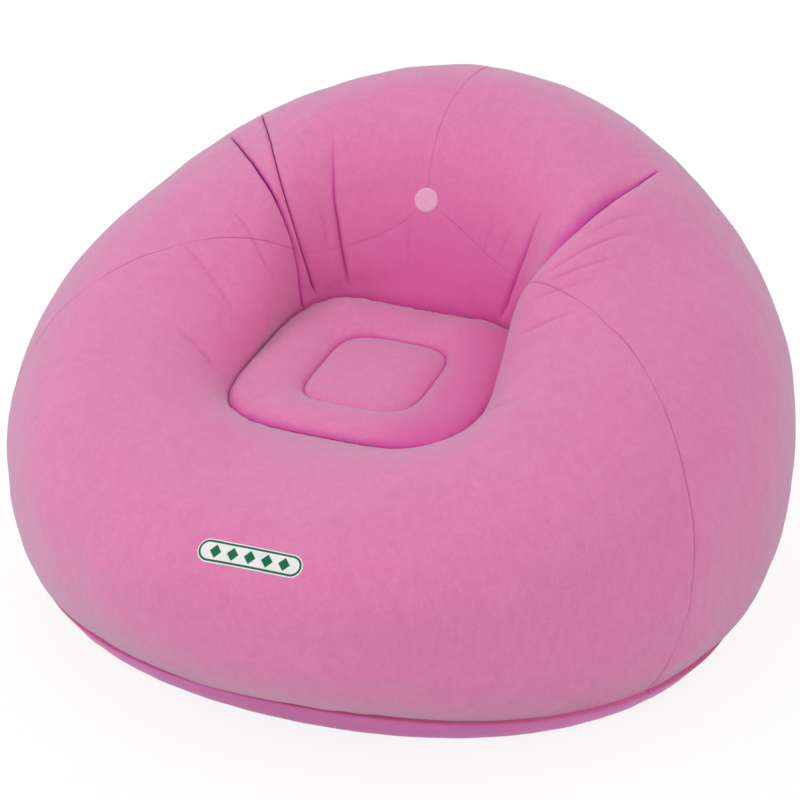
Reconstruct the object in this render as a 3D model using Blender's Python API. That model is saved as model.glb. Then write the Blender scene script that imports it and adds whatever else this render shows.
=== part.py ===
"""Inflatable tub chair with a sunken seat, built as its separate welded pieces.

Metres, +Z up, the floor at z = 0 and the origin at the centre of the footprint.
The chair faces -Y, so the sitter's left hand is at +X.

The flocked skin is one surface with two coordinates. The turn is the angle about
the vertical, 0 at +X and a quarter turn at the back. The station runs 0 at the
weld round the base, 1 at the belly, 2 on the crest of the arms, back and rim, 3 at
the edge of the seat, and a little past either end for the two weld lips.
"""
import math

import bmesh
import bpy
import numpy as np
from mathutils import Matrix, Vector

MM = 0.001
JOIN_GAP = 0.3 * MM

# Points nearer than this are one point, and a corner nearer than this to a line is on it
SAME_PLACE = 1e-6
TINY = 1e-12
SHARP_EDGE = math.radians(38.0)

# Sheet thicknesses, flock included where there is any
SKIN = 1.2 * MM
BASE_SHEET = 0.8 * MM
TAPE_SHEET = 0.5 * MM
TETHER_SHEET = 0.5 * MM
PATCH_SHEET = 0.4 * MM

# Level lines of the skin seen from above: half width, depth over width, a three-lobed
# swing, the centre's y, the heights at front, side and back, and the corner power
BASE_LINE = dict(half=0.505, deep=0.968, lobe=0.046, centre=0.035, heights=(0.0405, 0.0405, 0.0405))
BELLY_LINE = dict(half=0.560, deep=0.991, lobe=-0.0176, centre=0.0098, heights=(0.242, 0.219, 0.2835))
CREST_LINE = dict(half=0.325, deep=1.070, lobe=0.0344, centre=-0.029, heights=(0.358, 0.492, 0.664))
SEAT_LINE = dict(half=0.181, deep=1.0134, lobe=0.0, centre=-0.0547, power=4.0)
WELD_LINE = dict(half=0.084, deep=1.154, lobe=0.0, centre=-0.0627, power=4.0)

# The seat's welds lie in one plane that rises gently to the back
SEAT_HEIGHT = 0.3588
SEAT_RISE = 0.071

# Roundness of the skin between its level lines
UNDERCUT = 0.9
LOWER_BULGE = 0.9645
UPPER_BULGE = 2.14

# How far the skin turns down from the crest to the seat at front, side and back, as a
# share of a quarter turn
WELL_SWEEP = (0.37, 1.1, 0.9)

# Weld lips
BASE_LIP = 8 * MM
BASE_LIP_DROOP = 2 * MM
SEAT_LIP = 10 * MM
LIP_STATION = 0.1
LIP_SHY = 0.001

# Base panel: the part that lies flat, as a share of the base weld, and its rounded rim
FLAT_SHARE = 0.942
RIM_STEPS = ((0.972, 0.13), (0.994, 0.45))

# Seams, as turn in degrees and station, on the +X side. The -X one mirrors it
CROWN = (94.7, 2.65)
SIDE_SEAM = ((-29.5, -0.12), (-29.5, 0.0), (-26.2, 0.45), (-23.8, 0.75), (-23.3, 1.0), (-21.5, 1.33),
             (-17.4, 1.57), (-11.6, 1.79), (-2.3, 2.02), (6.7, 2.25), (16.8, 2.45), (28.5, 2.63),
             (42.0, 2.765), (57.0, 2.785), (75.0, 2.735))
BACK_SEAM = ((90.0, -0.12), (90.0, 0.0), (90.0, 1.0), (90.5, 1.95), (93.5, 2.29), (94.7, 2.47),
             CROWN, (94.7, 3.1))
SEAM_SAMPLES = 12
OVER_THE_ARM = 2.02
TAPE_HALF = 11 * MM
TAPE_START = 0.1

# Deep folds of the skin over the back corners of the seat, as turn and station. Their
# lines run on to the base, where nothing is folded, for the columns of the mesh
LEFT_OUTER_FOLD = ((26.0, 1.3), (24.0, 1.8), (20.3, 1.99), (19.7, 2.12), (18.8, 2.27), (18.9, 2.4),
                   (21.5, 2.6), (34.0, 3.0))
LEFT_INNER_FOLD = ((40.0, 1.3), (40.6, 1.82), (35.3, 1.93), (31.1, 2.02), (28.3, 2.18), (26.3, 2.31),
                   (25.4, 2.44), (26.6, 2.57), (30.5, 2.7), (45.0, 3.0))
RIGHT_INNER_FOLD = ((140.0, 1.3), (140.9, 1.81), (146.7, 2.13), (146.9, 2.42), (143.5, 2.67), (135.5, 3.0))
RIGHT_OUTER_FOLD = ((150.0, 1.3), (147.8, 1.8), (152.1, 2.06), (152.1, 2.33), (149.8, 2.53), (148.0, 2.68),
                    (145.2, 3.0))
FOLD_DEPTH = 13 * MM
FOLD_HALF_TURN = 3.0
FOLD_STATIONS = (1.75, 2.3, 2.75, 3.15)

# Where the columns and rows of the skin's mesh run
BASE_STATIONS = (0.0, 0.2, 0.4, 0.6, 0.8)
BELLY_STATIONS = (1.0, 1.17, 1.34, 1.51, 1.67, 1.83)
WELL_STATIONS = (2.0, 2.13, 2.26, 2.39, 2.52, 2.65, 2.77, 2.89, 3.0)
SNAP_REACH = 15 * MM
SNAP_SHARE = 0.38
OFF_SEAM = 0.1 * MM

# Metres that one degree of turn and one station measure on the skin, roughly
FLAT_SCALE = np.array([math.radians(0.3), 0.33])

# Seat panel: its gap to the walls, which lean in over it at the sides, and the crown
# heights of the ring and of the middle pad
SEAT_GAP = 0.6 * MM
RING_CROWN = 15 * MM
PAD_CROWN = 9 * MM
CROWN_POWER = 0.6
RING_SHARES = (0.0, 0.12, 0.35, 0.65, 0.88)
PAD_SHARES = (1.0, 0.86, 0.5)

# Tether between the seat and the base
TETHER_FLANGE = 10 * MM
TETHER_WAIST = 4 * MM
TETHER_COLUMNS = 32
VENT_RADIUS = 12 * MM
VENT_SIDES = 16
VENT_CUT = 0.3

# Round patch where the three panels meet, and the blank badge on the front
CROWN_PATCH = dict(place=CROWN, width=0.036, height=0.036, corner=0.018)
BADGE = dict(place=(-87.9, 1.4), width=0.141, height=0.031, corner=0.0155)
OUTLINE_SIDES = 24
FACE_REACH = 0.1

# Valve, low on the right back panel, in millimetres from the flocked face along its axis
VALVE_TURN, VALVE_STATION = 113.5, 0.6
VALVE_INSET = 3 * MM
FLAT_RADIUS = 66 * MM
BLEND_RADIUS = 110 * MM
HOLE_RADIUS = 24.5
HOLE_CUT = 30.0
TURNED_SIDES = 32
NECK_BORE, NECK_OUTER, NECK_TOP = 16.5, 20.0, 9.0
FLANGE_PROFILE = ((20.3, -2.7), (40.0, -2.7), (40.0, -1.5), (23.8, -1.5), (23.8, 0.8), (20.3, 0.8))
NECK_PROFILE = ((NECK_BORE, -5.0), (25.5, -5.0), (25.5, -3.0), (NECK_OUTER, -3.0), (NECK_OUTER, NECK_TOP),
                (NECK_BORE, NECK_TOP))
GASKET_PROFILE = ((16.8, 9.3), (19.8, 9.3), (19.8, 9.9), (16.8, 9.9))

# Screw cap with its inlet tube, spider and strap anchor
CAP_TOP = 12.0
INLET_RADIUS, INLET_OUTER, INLET_END = 8.8, 10.8, 4.6
CAP_PROFILE = ((20.4, 1.2), (25.0, 1.2), (25.0, 11.0), (24.0, CAP_TOP), (INLET_RADIUS, CAP_TOP),
               (INLET_RADIUS, INLET_END), (INLET_OUTER, INLET_END), (INLET_OUTER, 10.2), (20.4, 10.2))
SPIDER_HUB = ((1.2, 4.8), (2.8, 4.8), (2.8, 6.0), (1.2, 6.0))
SPIDER_ARMS = 3
SPIDER_ARM_LOW, SPIDER_ARM_HIGH = (2.2, -0.8, 4.9), (9.6, 0.8, 5.9)
ANCHOR_LOW, ANCHOR_HIGH = (21.1, -3.0, 11.2), (23.6, 3.0, 12.6)

# Check flap: a disc with a stem and a bulb that lets it open by 2.5 mm
FLAP_PROFILE = ((0.0, 3.6), (10.2, 3.6), (10.2, 4.3), (0.9, 4.3), (0.9, 8.8), (1.6, 8.8), (1.6, 9.3),
                (0.9, 9.7), (0.0, 9.7))

# Inflation plug, hollow over the flap's bulb, with its strap and the hinge line on the cap
HINGE_OFFSET, HINGE_HEIGHT = 20.3, 12.8
PLUG_PROFILE = ((0.0, 11.6), (5.4, 11.6), (5.4, 7.6), (7.2, 7.6), (8.0, 12.3), (12.5, 12.3), (12.5, 13.4),
                (11.9, 14.0), (0.0, 14.0))
STRAP_START, STRAP_HALF, STRAP_WIDTH = 11.0, 0.45, 6.0
STRAP_END_STEPS = 6

# Colour and roughness of each finish
PINK_FLOCK = ((0.75, 0.25, 0.46), 0.9)
PALE_FLOCK = ((0.80, 0.42, 0.58), 0.8)
BASE_VINYL = ((0.55, 0.20, 0.36), 0.6)
INNER_VINYL = ((0.70, 0.62, 0.66), 0.35)
BADGE_FILM = ((0.85, 0.84, 0.82), 0.5)
VALVE_PLASTIC = ((0.82, 0.80, 0.80), 0.4)
VALVE_RUBBER = ((0.10, 0.10, 0.11), 0.7)


def clear_scene():
    """Remove every object that the file opened with."""
    for obj in list(bpy.data.objects):
        bpy.data.objects.remove(obj, do_unlink=True)


def finish(name, look):
    """A plain material with a finish's colour and roughness."""
    colour, roughness = look
    material = bpy.data.materials.new(name)
    material.use_nodes = True
    shader = material.node_tree.nodes["Principled BSDF"]
    shader.inputs["Base Color"].default_value = (*colour, 1.0)
    shader.inputs["Roughness"].default_value = roughness
    shader.inputs["Metallic"].default_value = 0.0
    return material


def add_object(name, mesh, look=None, parent=None):
    """Link a mesh as a named object, with a material of its own if it has a look."""
    obj = bpy.data.objects.new(name, mesh)
    bpy.context.collection.objects.link(obj)
    if look:
        mesh.materials.append(finish(name, look))
    if parent:
        obj.parent = parent
    return obj


def front_side_back(turn, values):
    """A value that runs smoothly round the chair through those at front, side and back."""
    front, side, back = values
    along = np.sin(turn)
    return side + (back - front) / 2.0 * along + ((back + front) / 2.0 - side) * along ** 2


def level_line(turn, line):
    """Points of one level line at the given turns, in radians."""
    across, along = np.cos(turn), np.sin(turn)
    power = line.get("power", 2.0)
    reach = (np.abs(across) ** power + np.abs(along) ** power) ** (-1.0 / power)
    reach = reach * (1.0 - line["lobe"] * np.sin(3.0 * turn))
    x = line["half"] * across * reach
    y = line["centre"] + line["half"] * line["deep"] * along * reach
    if "heights" in line:
        z = front_side_back(turn, line["heights"])
    else:
        z = SEAT_HEIGHT + SEAT_RISE * y
    return np.stack([x, y, z], -1)


def between(start, end, plan, height):
    """Go from one level line to another by separate shares in plan and in height."""
    step = end - start
    return start + np.concatenate([step[..., :2] * plan[..., None], step[..., 2:] * height[..., None]], -1)


def plain_skin(turn, station):
    """The smooth skin, without folds, lips or the valve's flat."""
    turn, station = np.broadcast_arrays(turn, station)
    base, belly, crest, seat = (level_line(turn, line)
                                for line in (BASE_LINE, BELLY_LINE, CREST_LINE, SEAT_LINE))
    full = math.pi / 2.0 * UNDERCUT
    sweep = np.clip(1.0 - station, 0.0, 1.0) * full
    plan = ((1.0 - np.cos(sweep)) / (1.0 - math.cos(full))) ** LOWER_BULGE
    lower = between(belly, base, plan, np.sin(sweep) / math.sin(full))
    sweep = np.clip(station - 1.0, 0.0, 1.0) * math.pi / 2.0
    upper = between(belly, crest, 1.0 - np.cos(sweep) ** (2.0 / UPPER_BULGE),
                    np.sin(sweep) ** (2.0 / UPPER_BULGE))
    full = math.pi / 2.0 * front_side_back(turn, WELL_SWEEP)
    sweep = np.clip(station - 2.0, 0.0, 1.0) * full
    well = between(crest, seat, np.sin(sweep) / np.sin(full), (1.0 - np.cos(sweep)) / (1.0 - np.cos(full)))
    return np.where((station < 1.0)[..., None], lower, np.where((station < 2.0)[..., None], upper, well))


def skin_direction(turn, station):
    """Unit direction out of the air space at a point of the smooth skin."""
    small = 1e-3
    round_it = plain_skin(turn + small, station) - plain_skin(turn - small, station)
    along_it = plain_skin(turn, station + small) - plain_skin(turn, station - small)
    out = np.cross(round_it, along_it)
    return out / np.linalg.norm(out, axis=-1, keepdims=True)


def uphill(axis):
    """Unit direction across an axis that rises most."""
    upward = np.array([0.0, 0.0, 1.0]) - axis * axis[2]
    return upward / np.linalg.norm(upward)


def curve_turn(points, station):
    """Turn, in degrees, of a line over the skin at a station, held level past its ends."""
    turns = [point[0] for point in points]
    stations = [point[1] for point in points]
    return np.interp(station, stations, turns)


def fold_depth(turn, station):
    """How far the deep folds draw the skin in."""
    strength = np.interp(station, FOLD_STATIONS, (0.0, 1.0, 0.7, 0.0))
    depth = np.zeros(np.shape(turn))
    for fold in (LEFT_OUTER_FOLD, LEFT_INNER_FOLD, RIGHT_INNER_FOLD, RIGHT_OUTER_FOLD):
        away = np.abs(np.degrees(turn) - curve_turn(fold, station)) / FOLD_HALF_TURN
        depth = np.maximum(depth, FOLD_DEPTH * strength * np.clip(1.0 - away, 0.0, 1.0))
    return depth


def valve_place():
    """Centre of the valve on the flocked face, its outward axis and its upward edge."""
    turn = np.array(math.radians(VALVE_TURN))
    station = np.array(VALVE_STATION)
    axis = skin_direction(turn, station)
    return plain_skin(turn, station) - axis * VALVE_INSET, axis, uphill(axis)


def skin_points(turn, station):
    """Points of the flocked face, with folds, weld lips and the flat for the valve."""
    turn, station = np.broadcast_arrays(turn, station)
    inside = np.clip(station, 0.0, 3.0)
    points = plain_skin(turn, inside)
    depth = fold_depth(turn, station)
    inner = np.clip(inside, LIP_SHY, 3.0 - LIP_SHY)
    points = points - skin_direction(turn, inner) * depth[..., None]
    centre, axis, _ = valve_place()
    offset = points - centre
    rise = offset @ axis
    radius = np.linalg.norm(offset - rise[..., None] * axis, axis=-1)
    share = np.clip((BLEND_RADIUS - radius) / (BLEND_RADIUS - FLAT_RADIUS), 0.0, 1.0)
    share = np.where(np.abs(rise) < BLEND_RADIUS / 2.0, share, 0.0)
    points = points - (share * rise)[..., None] * axis
    outward = points[..., :2] / np.linalg.norm(points[..., :2], axis=-1, keepdims=True)
    lip = np.clip(-station / LIP_STATION, 0.0, 1.0)[..., None]
    flat_lip = np.concatenate([outward * BASE_LIP, np.full(lip.shape, -BASE_LIP_DROOP)], -1)
    points = points + lip * flat_lip
    turned_in = np.clip((station - 3.0) / LIP_STATION, 0.0, 1.0)[..., None]
    middle = np.array([0.0, SEAT_LINE["centre"]])
    inward = middle - points[..., :2]
    inward = inward / np.linalg.norm(inward, axis=-1, keepdims=True)
    drop = (station >= 3.0)[..., None] * -(SKIN + JOIN_GAP)
    seat_lip = np.concatenate([inward * SEAT_LIP, SEAT_RISE * inward[..., 1:] * SEAT_LIP], -1)
    return points + turned_in * seat_lip + np.concatenate([np.zeros(inward.shape), drop], -1)


def smooth_line(controls):
    """A smooth curve through hand-set points, as turn and station."""
    points = np.array(controls)
    ends = np.concatenate([2 * points[:1] - points[1:2], points, 2 * points[-1:] - points[-2:-1]])
    share = np.linspace(0.0, 1.0, SEAM_SAMPLES, endpoint=False)[:, None]
    runs = []
    for a, b, c, d in zip(ends, ends[1:], ends[2:], ends[3:]):
        runs.append(0.5 * (2 * b + (c - a) * share + (2 * a - 5 * b + 4 * c - d) * share ** 2
                           + (3 * b - a - 3 * c + d) * share ** 3))
    return np.concatenate(runs + [points[-1:]])


def seam_lines():
    """The side seam from base to base over the crown point, and the back seam up to it."""
    mirrored = tuple((180.0 - turn, station) for turn, station in reversed(SIDE_SEAM))
    return smooth_line(SIDE_SEAM + (CROWN,) + mirrored), smooth_line(BACK_SEAM)


def nearest_on(line, points):
    """Nearest point on a bent line to each point, and how far it is."""
    starts = line[:-1]
    runs = line[1:] - starts
    length = np.maximum((runs ** 2).sum(-1), TINY)
    share = ((points[:, None, :] - starts) * runs).sum(-1) / length
    feet = starts + np.clip(share, 0.0, 1.0)[..., None] * runs
    away = np.linalg.norm(points[:, None, :] - feet, axis=-1)
    best = away.argmin(axis=1)
    pick = np.arange(len(points))
    return feet[pick, best], away[pick, best]


def column_turns(station):
    """Turns, in degrees, of the mesh columns at a station, following folds and seams."""
    flank = smooth_line(SIDE_SEAM)
    flank = flank[flank[:, 1] < OVER_THE_ARM]
    side = curve_turn(flank, station)
    left_outer = curve_turn(LEFT_OUTER_FOLD, station)
    left_inner = curve_turn(LEFT_INNER_FOLD, station)
    right_inner = curve_turn(RIGHT_INNER_FOLD, station)
    right_outer = curve_turn(RIGHT_OUTER_FOLD, station)
    back = curve_turn(BACK_SEAM, station)
    ridge = FOLD_HALF_TURN
    stops = ((-90.0, 7), (side, 4), (left_outer - ridge, 1), (left_outer, 1),
             ((left_outer + left_inner) / 2.0, 1), (left_inner, 1), (left_inner + ridge, 6),
             (back, 5), (right_inner - ridge, 1), (right_inner, 1),
             ((right_inner + right_outer) / 2.0, 1), (right_outer, 1), (right_outer + ridge, 4),
             (180.0 - side, 7), (270.0, 0))
    turns = []
    for (start, count), (end, _) in zip(stops, stops[1:]):
        turns.extend(start + (end - start) * step / count for step in range(count))
    return np.array(turns)


class Patch:
    """Triangles and smaller faces of a curved sheet.

    Each row of data holds a corner's point, its direction out of the air space, its
    signed distances from the side seam and from the back seam, and its station.
    """

    POINT = slice(0, 3)
    OUT = slice(3, 6)
    SIDE = 6
    BACK = 7
    STATION = 8

    def __init__(self, data, faces):
        self.data = data
        self.faces = faces

    def kept(self, values):
        """The part where values, one for each corner, are positive, cut at nil."""
        values = np.where(np.abs(values) < SAME_PLACE, 0.0, values)
        rows = list(self.data)
        crossings = {}
        faces = []
        for face in self.faces:
            if not any(values[i] > 0.0 for i in face):
                continue
            ring = []
            for a, b in zip(face, face[1:] + face[:1]):
                if values[a] >= 0.0:
                    ring.append(a)
                if values[a] * values[b] < 0.0:
                    low, high = min(a, b), max(a, b)
                    if (low, high) not in crossings:
                        share = values[low] / (values[low] - values[high])
                        crossings[low, high] = len(rows)
                        rows.append(rows[low] + share * (rows[high] - rows[low]))
                    ring.append(crossings[low, high])
            faces.append(ring)
        return Patch(np.array(rows), faces)

    def strip(self, column, half):
        """The part within half a strip's width of a seam."""
        one = self.kept(self.data[:, column] + half)
        return one.kept(half - one.data[:, column])

    def parted(self, column, side):
        """One side of a seam, drawn back from it by half the gap between pieces."""
        part = self.kept(self.data[:, column] * side)
        on_seam = np.abs(part.data[:, column]) < SAME_PLACE
        edges = {(a, b) for face in part.faces for a, b in zip(face, face[1:] + face[:1])}
        along = {}
        for a, b in sorted(edges):
            if on_seam[a] and on_seam[b] and (b, a) not in edges:
                run = part.data[b, self.POINT] - part.data[a, self.POINT]
                for corner in (a, b):
                    along[corner] = along.get(corner, 0.0) + run / np.linalg.norm(run)
        for corner, run in along.items():
            inward = np.cross(part.data[corner, self.OUT], run)
            part.data[corner, self.POINT] += inward / np.linalg.norm(inward) * JOIN_GAP / 2.0
        return part

    def outlined(self, centre, across, upward, width, height, corner):
        """The part inside a round-cornered outline that is pushed straight through."""
        reach = max(width, height) + FACE_REACH
        close = np.linalg.norm(self.data[:, self.POINT] - centre, axis=1) < reach
        part = Patch(self.data, [face for face in self.faces if all(close[i] for i in face)])
        for step in range(OUTLINE_SIDES):
            angle = 2.0 * math.pi * step / OUTLINE_SIDES
            side = across * math.cos(angle) + upward * math.sin(angle)
            limit = (width / 2.0 - corner) * abs(math.cos(angle))
            limit += (height / 2.0 - corner) * abs(math.sin(angle)) + corner
            part = part.kept(limit - (part.data[:, self.POINT] - centre) @ side)
        return part

    def solid(self, name, outer, inner, look):
        """Build the closed sheet between two heights over the face."""
        used = sorted({i for face in self.faces for i in face})
        place = {corner: number for number, corner in enumerate(used)}
        rows = self.data[used]
        count = len(used)
        verts = np.concatenate([rows[:, self.POINT] + rows[:, self.OUT] * outer,
                                rows[:, self.POINT] + rows[:, self.OUT] * inner])
        top = [[place[i] for i in face] for face in self.faces]
        faces = top + [[i + count for i in reversed(face)] for face in top]
        edges = {(a, b) for face in top for a, b in zip(face, face[1:] + face[:1])}
        faces += [[b, a, a + count, b + count] for a, b in sorted(edges) if (b, a) not in edges]
        mesh = bpy.data.meshes.new(name)
        mesh.from_pydata(verts.tolist(), [], faces)
        mesh.shade_smooth()
        mesh.set_sharp_from_angle(angle=SHARP_EDGE)
        return add_object(name, mesh, look)


def corner_directions(points, faces):
    """Mean direction of the faces at each corner."""
    total = np.zeros(points.shape)
    for face in faces:
        a, b, c = points[face[0]], points[face[1]], points[face[2]]
        normal = np.cross(b - a, c - a)
        normal = normal / max(np.linalg.norm(normal), TINY)
        for here, ahead, behind in zip(face, face[1:] + face[:1], face[-1:] + face[:-1]):
            one = points[ahead] - points[here]
            two = points[behind] - points[here]
            cosine = one @ two / max(np.linalg.norm(one) * np.linalg.norm(two), TINY)
            total[here] += normal * math.acos(max(-1.0, min(1.0, cosine)))
    return total / np.linalg.norm(total, axis=1, keepdims=True)


def rows_to_faces(points, rows):
    """Triangles between closed rows of corners, each square cut along its short way."""
    faces = []
    for low, high in zip(rows, rows[1:]):
        for a, b, c, d in zip(low, np.roll(low, -1), np.roll(high, -1), high):
            if np.linalg.norm(points[a] - points[c]) < np.linalg.norm(points[b] - points[d]):
                faces += [[a, b, c], [a, c, d]]
            else:
                faces += [[a, b, d], [b, c, d]]
    return [[int(i) for i in face] for face in faces]


def plain_patch(points, rows, fan=None):
    """A patch from closed rows of corners, with a fan to a last point if one is given."""
    faces = rows_to_faces(points, rows)
    if fan is not None:
        last = rows[-1]
        faces += [[int(a), int(b), fan] for a, b in zip(last, np.roll(last, -1))]
    out = corner_directions(points, faces)
    return Patch(np.column_stack([points, out, np.zeros((len(points), 3))]), faces)


def behind_side_seam(flat, side):
    """Whether places lie behind the side seam, in turn and station."""
    outline = np.concatenate([[(side[0, 0], -1.0)], side, [(side[-1, 0], -1.0)]])
    inside = np.zeros(len(flat), dtype=bool)
    for (x0, y0), (x1, y1) in zip(outline, np.roll(outline, -1, 0)):
        if x0 == x1:
            continue
        spans = (flat[:, 0] >= min(x0, x1)) & (flat[:, 0] < max(x0, x1))
        height = y0 + (flat[:, 0] - x0) * (y1 - y0) / (x1 - x0)
        inside ^= spans & (height > flat[:, 1])
    return inside


def skin_patch(seams):
    """The whole flocked face, lips included, with its corners drawn onto the seams.

    Returns the patch and the corner numbers of its rows.
    """
    stations = (-LIP_STATION,) + BASE_STATIONS + BELLY_STATIONS + WELL_STATIONS + (3.0 + LIP_STATION,)
    flat = np.array([(turn, station) for station in stations for turn in column_turns(station)])
    rows = np.arange(len(flat)).reshape(len(stations), -1)
    turns = flat[rows, 0]
    ahead = np.diff(turns, axis=1, append=turns[:, :1] + 360.0)
    room = np.minimum(ahead, np.roll(ahead, 1, axis=1)).ravel() * FLAT_SCALE[0]
    for line in seams:
        feet, away = nearest_on(line * FLAT_SCALE, flat * FLAT_SCALE)
        movable = away < np.minimum(SNAP_REACH, SNAP_SHARE * room)
        movable &= (flat[:, 1] > 0.0) & (flat[:, 1] < 3.0)
        flat = np.where(movable[:, None], feet / FLAT_SCALE, flat)
    crown_row = rows[stations.index(CROWN[1])]
    flat[crown_row[np.abs(column_turns(CROWN[1]) - CROWN[0]).argmin()]] = CROWN
    points = skin_points(np.radians(flat[:, 0]), flat[:, 1])
    faces = rows_to_faces(points, rows)
    out = corner_directions(points, faces)
    seam_points = [skin_points(np.radians(line[:, 0]), line[:, 1]) for line in seams]
    beyond = (behind_side_seam(flat, seams[0]), flat[:, 0] > curve_turn(BACK_SEAM, flat[:, 1]))
    columns = []
    for line, seam, far_side in zip(seams, seam_points, beyond):
        _, away = nearest_on(seam, points)
        _, flat_away = nearest_on(line * FLAT_SCALE, flat * FLAT_SCALE)
        away = np.where(flat_away < SAME_PLACE, 0.0, np.maximum(away, OFF_SEAM))
        columns.append(np.where(far_side, away, -away))
    return Patch(np.column_stack([points, out, *columns, flat[:, 1]]), faces), rows


def build_panels(patch):
    """Build the front panel and the two back panels, and return the right back one."""
    patch.parted(Patch.SIDE, -1.0).solid("front_panel", 0.0, -SKIN, PINK_FLOCK)
    rear = patch.parted(Patch.SIDE, 1.0)
    rear.parted(Patch.BACK, -1.0).solid("left_back_panel", 0.0, -SKIN, PINK_FLOCK)
    return rear.parted(Patch.BACK, 1.0).solid("right_back_panel", 0.0, -SKIN, PINK_FLOCK)


def build_tapes(patch):
    """Strips welded behind the seams, from just above the base to the crown point."""
    above = patch.kept(patch.data[:, Patch.STATION] - TAPE_START)
    outer, inner = -(SKIN + JOIN_GAP), -(SKIN + JOIN_GAP + TAPE_SHEET)
    strip = above.strip(Patch.SIDE, TAPE_HALF)
    strip.parted(Patch.BACK, -1.0).solid("left_seam_tape", outer, inner, INNER_VINYL)
    strip.parted(Patch.BACK, 1.0).solid("right_seam_tape", outer, inner, INNER_VINYL)
    strip = above.strip(Patch.BACK, TAPE_HALF)
    strip = strip.kept(strip.data[:, Patch.SIDE] - TAPE_HALF - JOIN_GAP)
    strip.solid("back_seam_tape", outer, inner, INNER_VINYL)


def build_face_patch(patch, name, look, place, width, height, corner):
    """Build a thin patch that lies on the flocked face, with a round-cornered outline."""
    turn, station = np.array(math.radians(place[0])), np.array(place[1])
    centre, axis = skin_points(turn, station), skin_direction(turn, station)
    upward = uphill(axis)
    part = patch.outlined(centre, np.cross(upward, axis), upward, width, height, corner)
    part.solid(name, JOIN_GAP + PATCH_SHEET, JOIN_GAP, look)


def build_seat():
    """The seat panel: a padded ring and a middle pad, parted by the weld of the tether."""
    turns = np.radians(column_turns(3.0))
    edge = level_line(turns, dict(SEAT_LINE, half=SEAT_LINE["half"] - SEAT_GAP))
    weld = level_line(turns, WELD_LINE)
    middle = np.array([0.0, WELD_LINE["centre"], SEAT_HEIGHT + SEAT_RISE * WELD_LINE["centre"]])
    points = []
    for share in RING_SHARES:
        ring = edge + (weld - edge) * share
        ring[:, 2] += RING_CROWN * (4.0 * share * (1.0 - share)) ** CROWN_POWER
        points.append(ring)
    for share in PAD_SHARES:
        pad = middle + (weld - middle) * share
        pad[:, 2] += PAD_CROWN * (1.0 - share ** 2) ** CROWN_POWER
        points.append(pad)
    count = len(turns)
    rows = np.arange(len(points) * count).reshape(-1, count)
    corners = np.concatenate(points + [[middle + (0.0, 0.0, PAD_CROWN)]])
    plain_patch(corners, rows, len(corners) - 1).solid("seat_panel", 0.0, -SKIN, PINK_FLOCK)


def build_base(patch, rows):
    """The base panel: flat on the floor, a rounded rim and the lower lip of the weld."""
    lip, root = patch.data[rows[0]], patch.data[rows[1]]
    drop = SKIN + JOIN_GAP + BASE_SHEET
    line = level_line(np.radians(column_turns(0.0)), BASE_LINE)
    middle = np.array([0.0, BASE_LINE["centre"], 0.0])
    points = [lip[:, Patch.POINT] - lip[:, Patch.OUT] * drop, root[:, Patch.POINT] - lip[:, Patch.OUT] * drop]
    for share, height in RIM_STEPS[::-1] + ((FLAT_SHARE, 0.0), (FLAT_SHARE / 2.0, 0.0)):
        points.append(middle + (line - middle) * (share, share, height))
    count = len(line)
    corners = np.concatenate(points + [[middle]])
    numbers = np.arange(len(points) * count).reshape(-1, count)
    rim = plain_patch(corners, numbers[:, ::-1], len(corners) - 1)
    on_floor = corners[:, 2] == 0.0
    rim.data[on_floor, Patch.OUT] = (0.0, 0.0, -1.0)
    rim.solid("base_panel", 0.0, -BASE_SHEET, BASE_VINYL)


def build_tether():
    """The tube that ties the seat's inner weld down to the base, with a flange at each end."""
    turns = np.linspace(0.0, 2.0 * math.pi, TETHER_COLUMNS, endpoint=False)
    weld = level_line(turns, WELD_LINE)
    top = weld[:, 2] - SKIN - JOIN_GAP - TETHER_SHEET
    low = np.full(TETHER_COLUMNS, BASE_SHEET + JOIN_GAP)
    middle = np.array([0.0, WELD_LINE["centre"]])
    outward = weld[:, :2] - middle
    outward = outward / np.linalg.norm(outward, axis=1, keepdims=True)
    wide = weld[:, :2] + outward * TETHER_FLANGE
    waist = weld[:, :2] - outward * TETHER_WAIST
    rise = SEAT_RISE * outward[:, 1] * TETHER_FLANGE
    rings = ((wide, low + TETHER_SHEET), (weld[:, :2], low + TETHER_SHEET), (waist, (low + top) / 2.0),
             (weld[:, :2], top), (wide, top + rise))
    corners = np.concatenate([np.column_stack(ring) for ring in rings])
    rows = np.arange(len(corners)).reshape(-1, TETHER_COLUMNS)
    tube = plain_patch(corners, rows)
    tube.data[rows[0], Patch.OUT] = tube.data[rows[1], Patch.OUT] = (0.0, 0.0, 1.0)
    tube.data[rows[3], Patch.OUT] = tube.data[rows[4], Patch.OUT] = (0.0, 0.0, -1.0)
    for row in (rows[1], rows[3]):
        tube.data[row, 3:5] = outward
    tether = tube.solid("seat_tether", 0.0, -TETHER_SHEET, INNER_VINYL)
    height = float((low + top).mean()) / 2.0
    for name, turn in (("vent_across", math.pi / 2.0), ("vent_along", 0.0)):
        hole = guide_cylinder(name, VENT_RADIUS, VENT_CUT, VENT_SIDES)
        hole.location = (0.0, WELD_LINE["centre"], height)
        hole.rotation_euler = (math.pi / 2.0, 0.0, turn)
        add_boolean(tether, hole, "DIFFERENCE")


def guide_cylinder(name, radius, depth, sides, parent=None):
    """A cylinder that only cuts or joins, and is no piece itself."""
    mesh = bpy.data.meshes.new(name)
    shape = bmesh.new()
    bmesh.ops.create_cone(shape, cap_ends=True, segments=sides, radius1=radius, radius2=radius, depth=depth)
    shape.to_mesh(mesh)
    shape.free()
    return as_guide(add_object(name, mesh, parent=parent))


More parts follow.
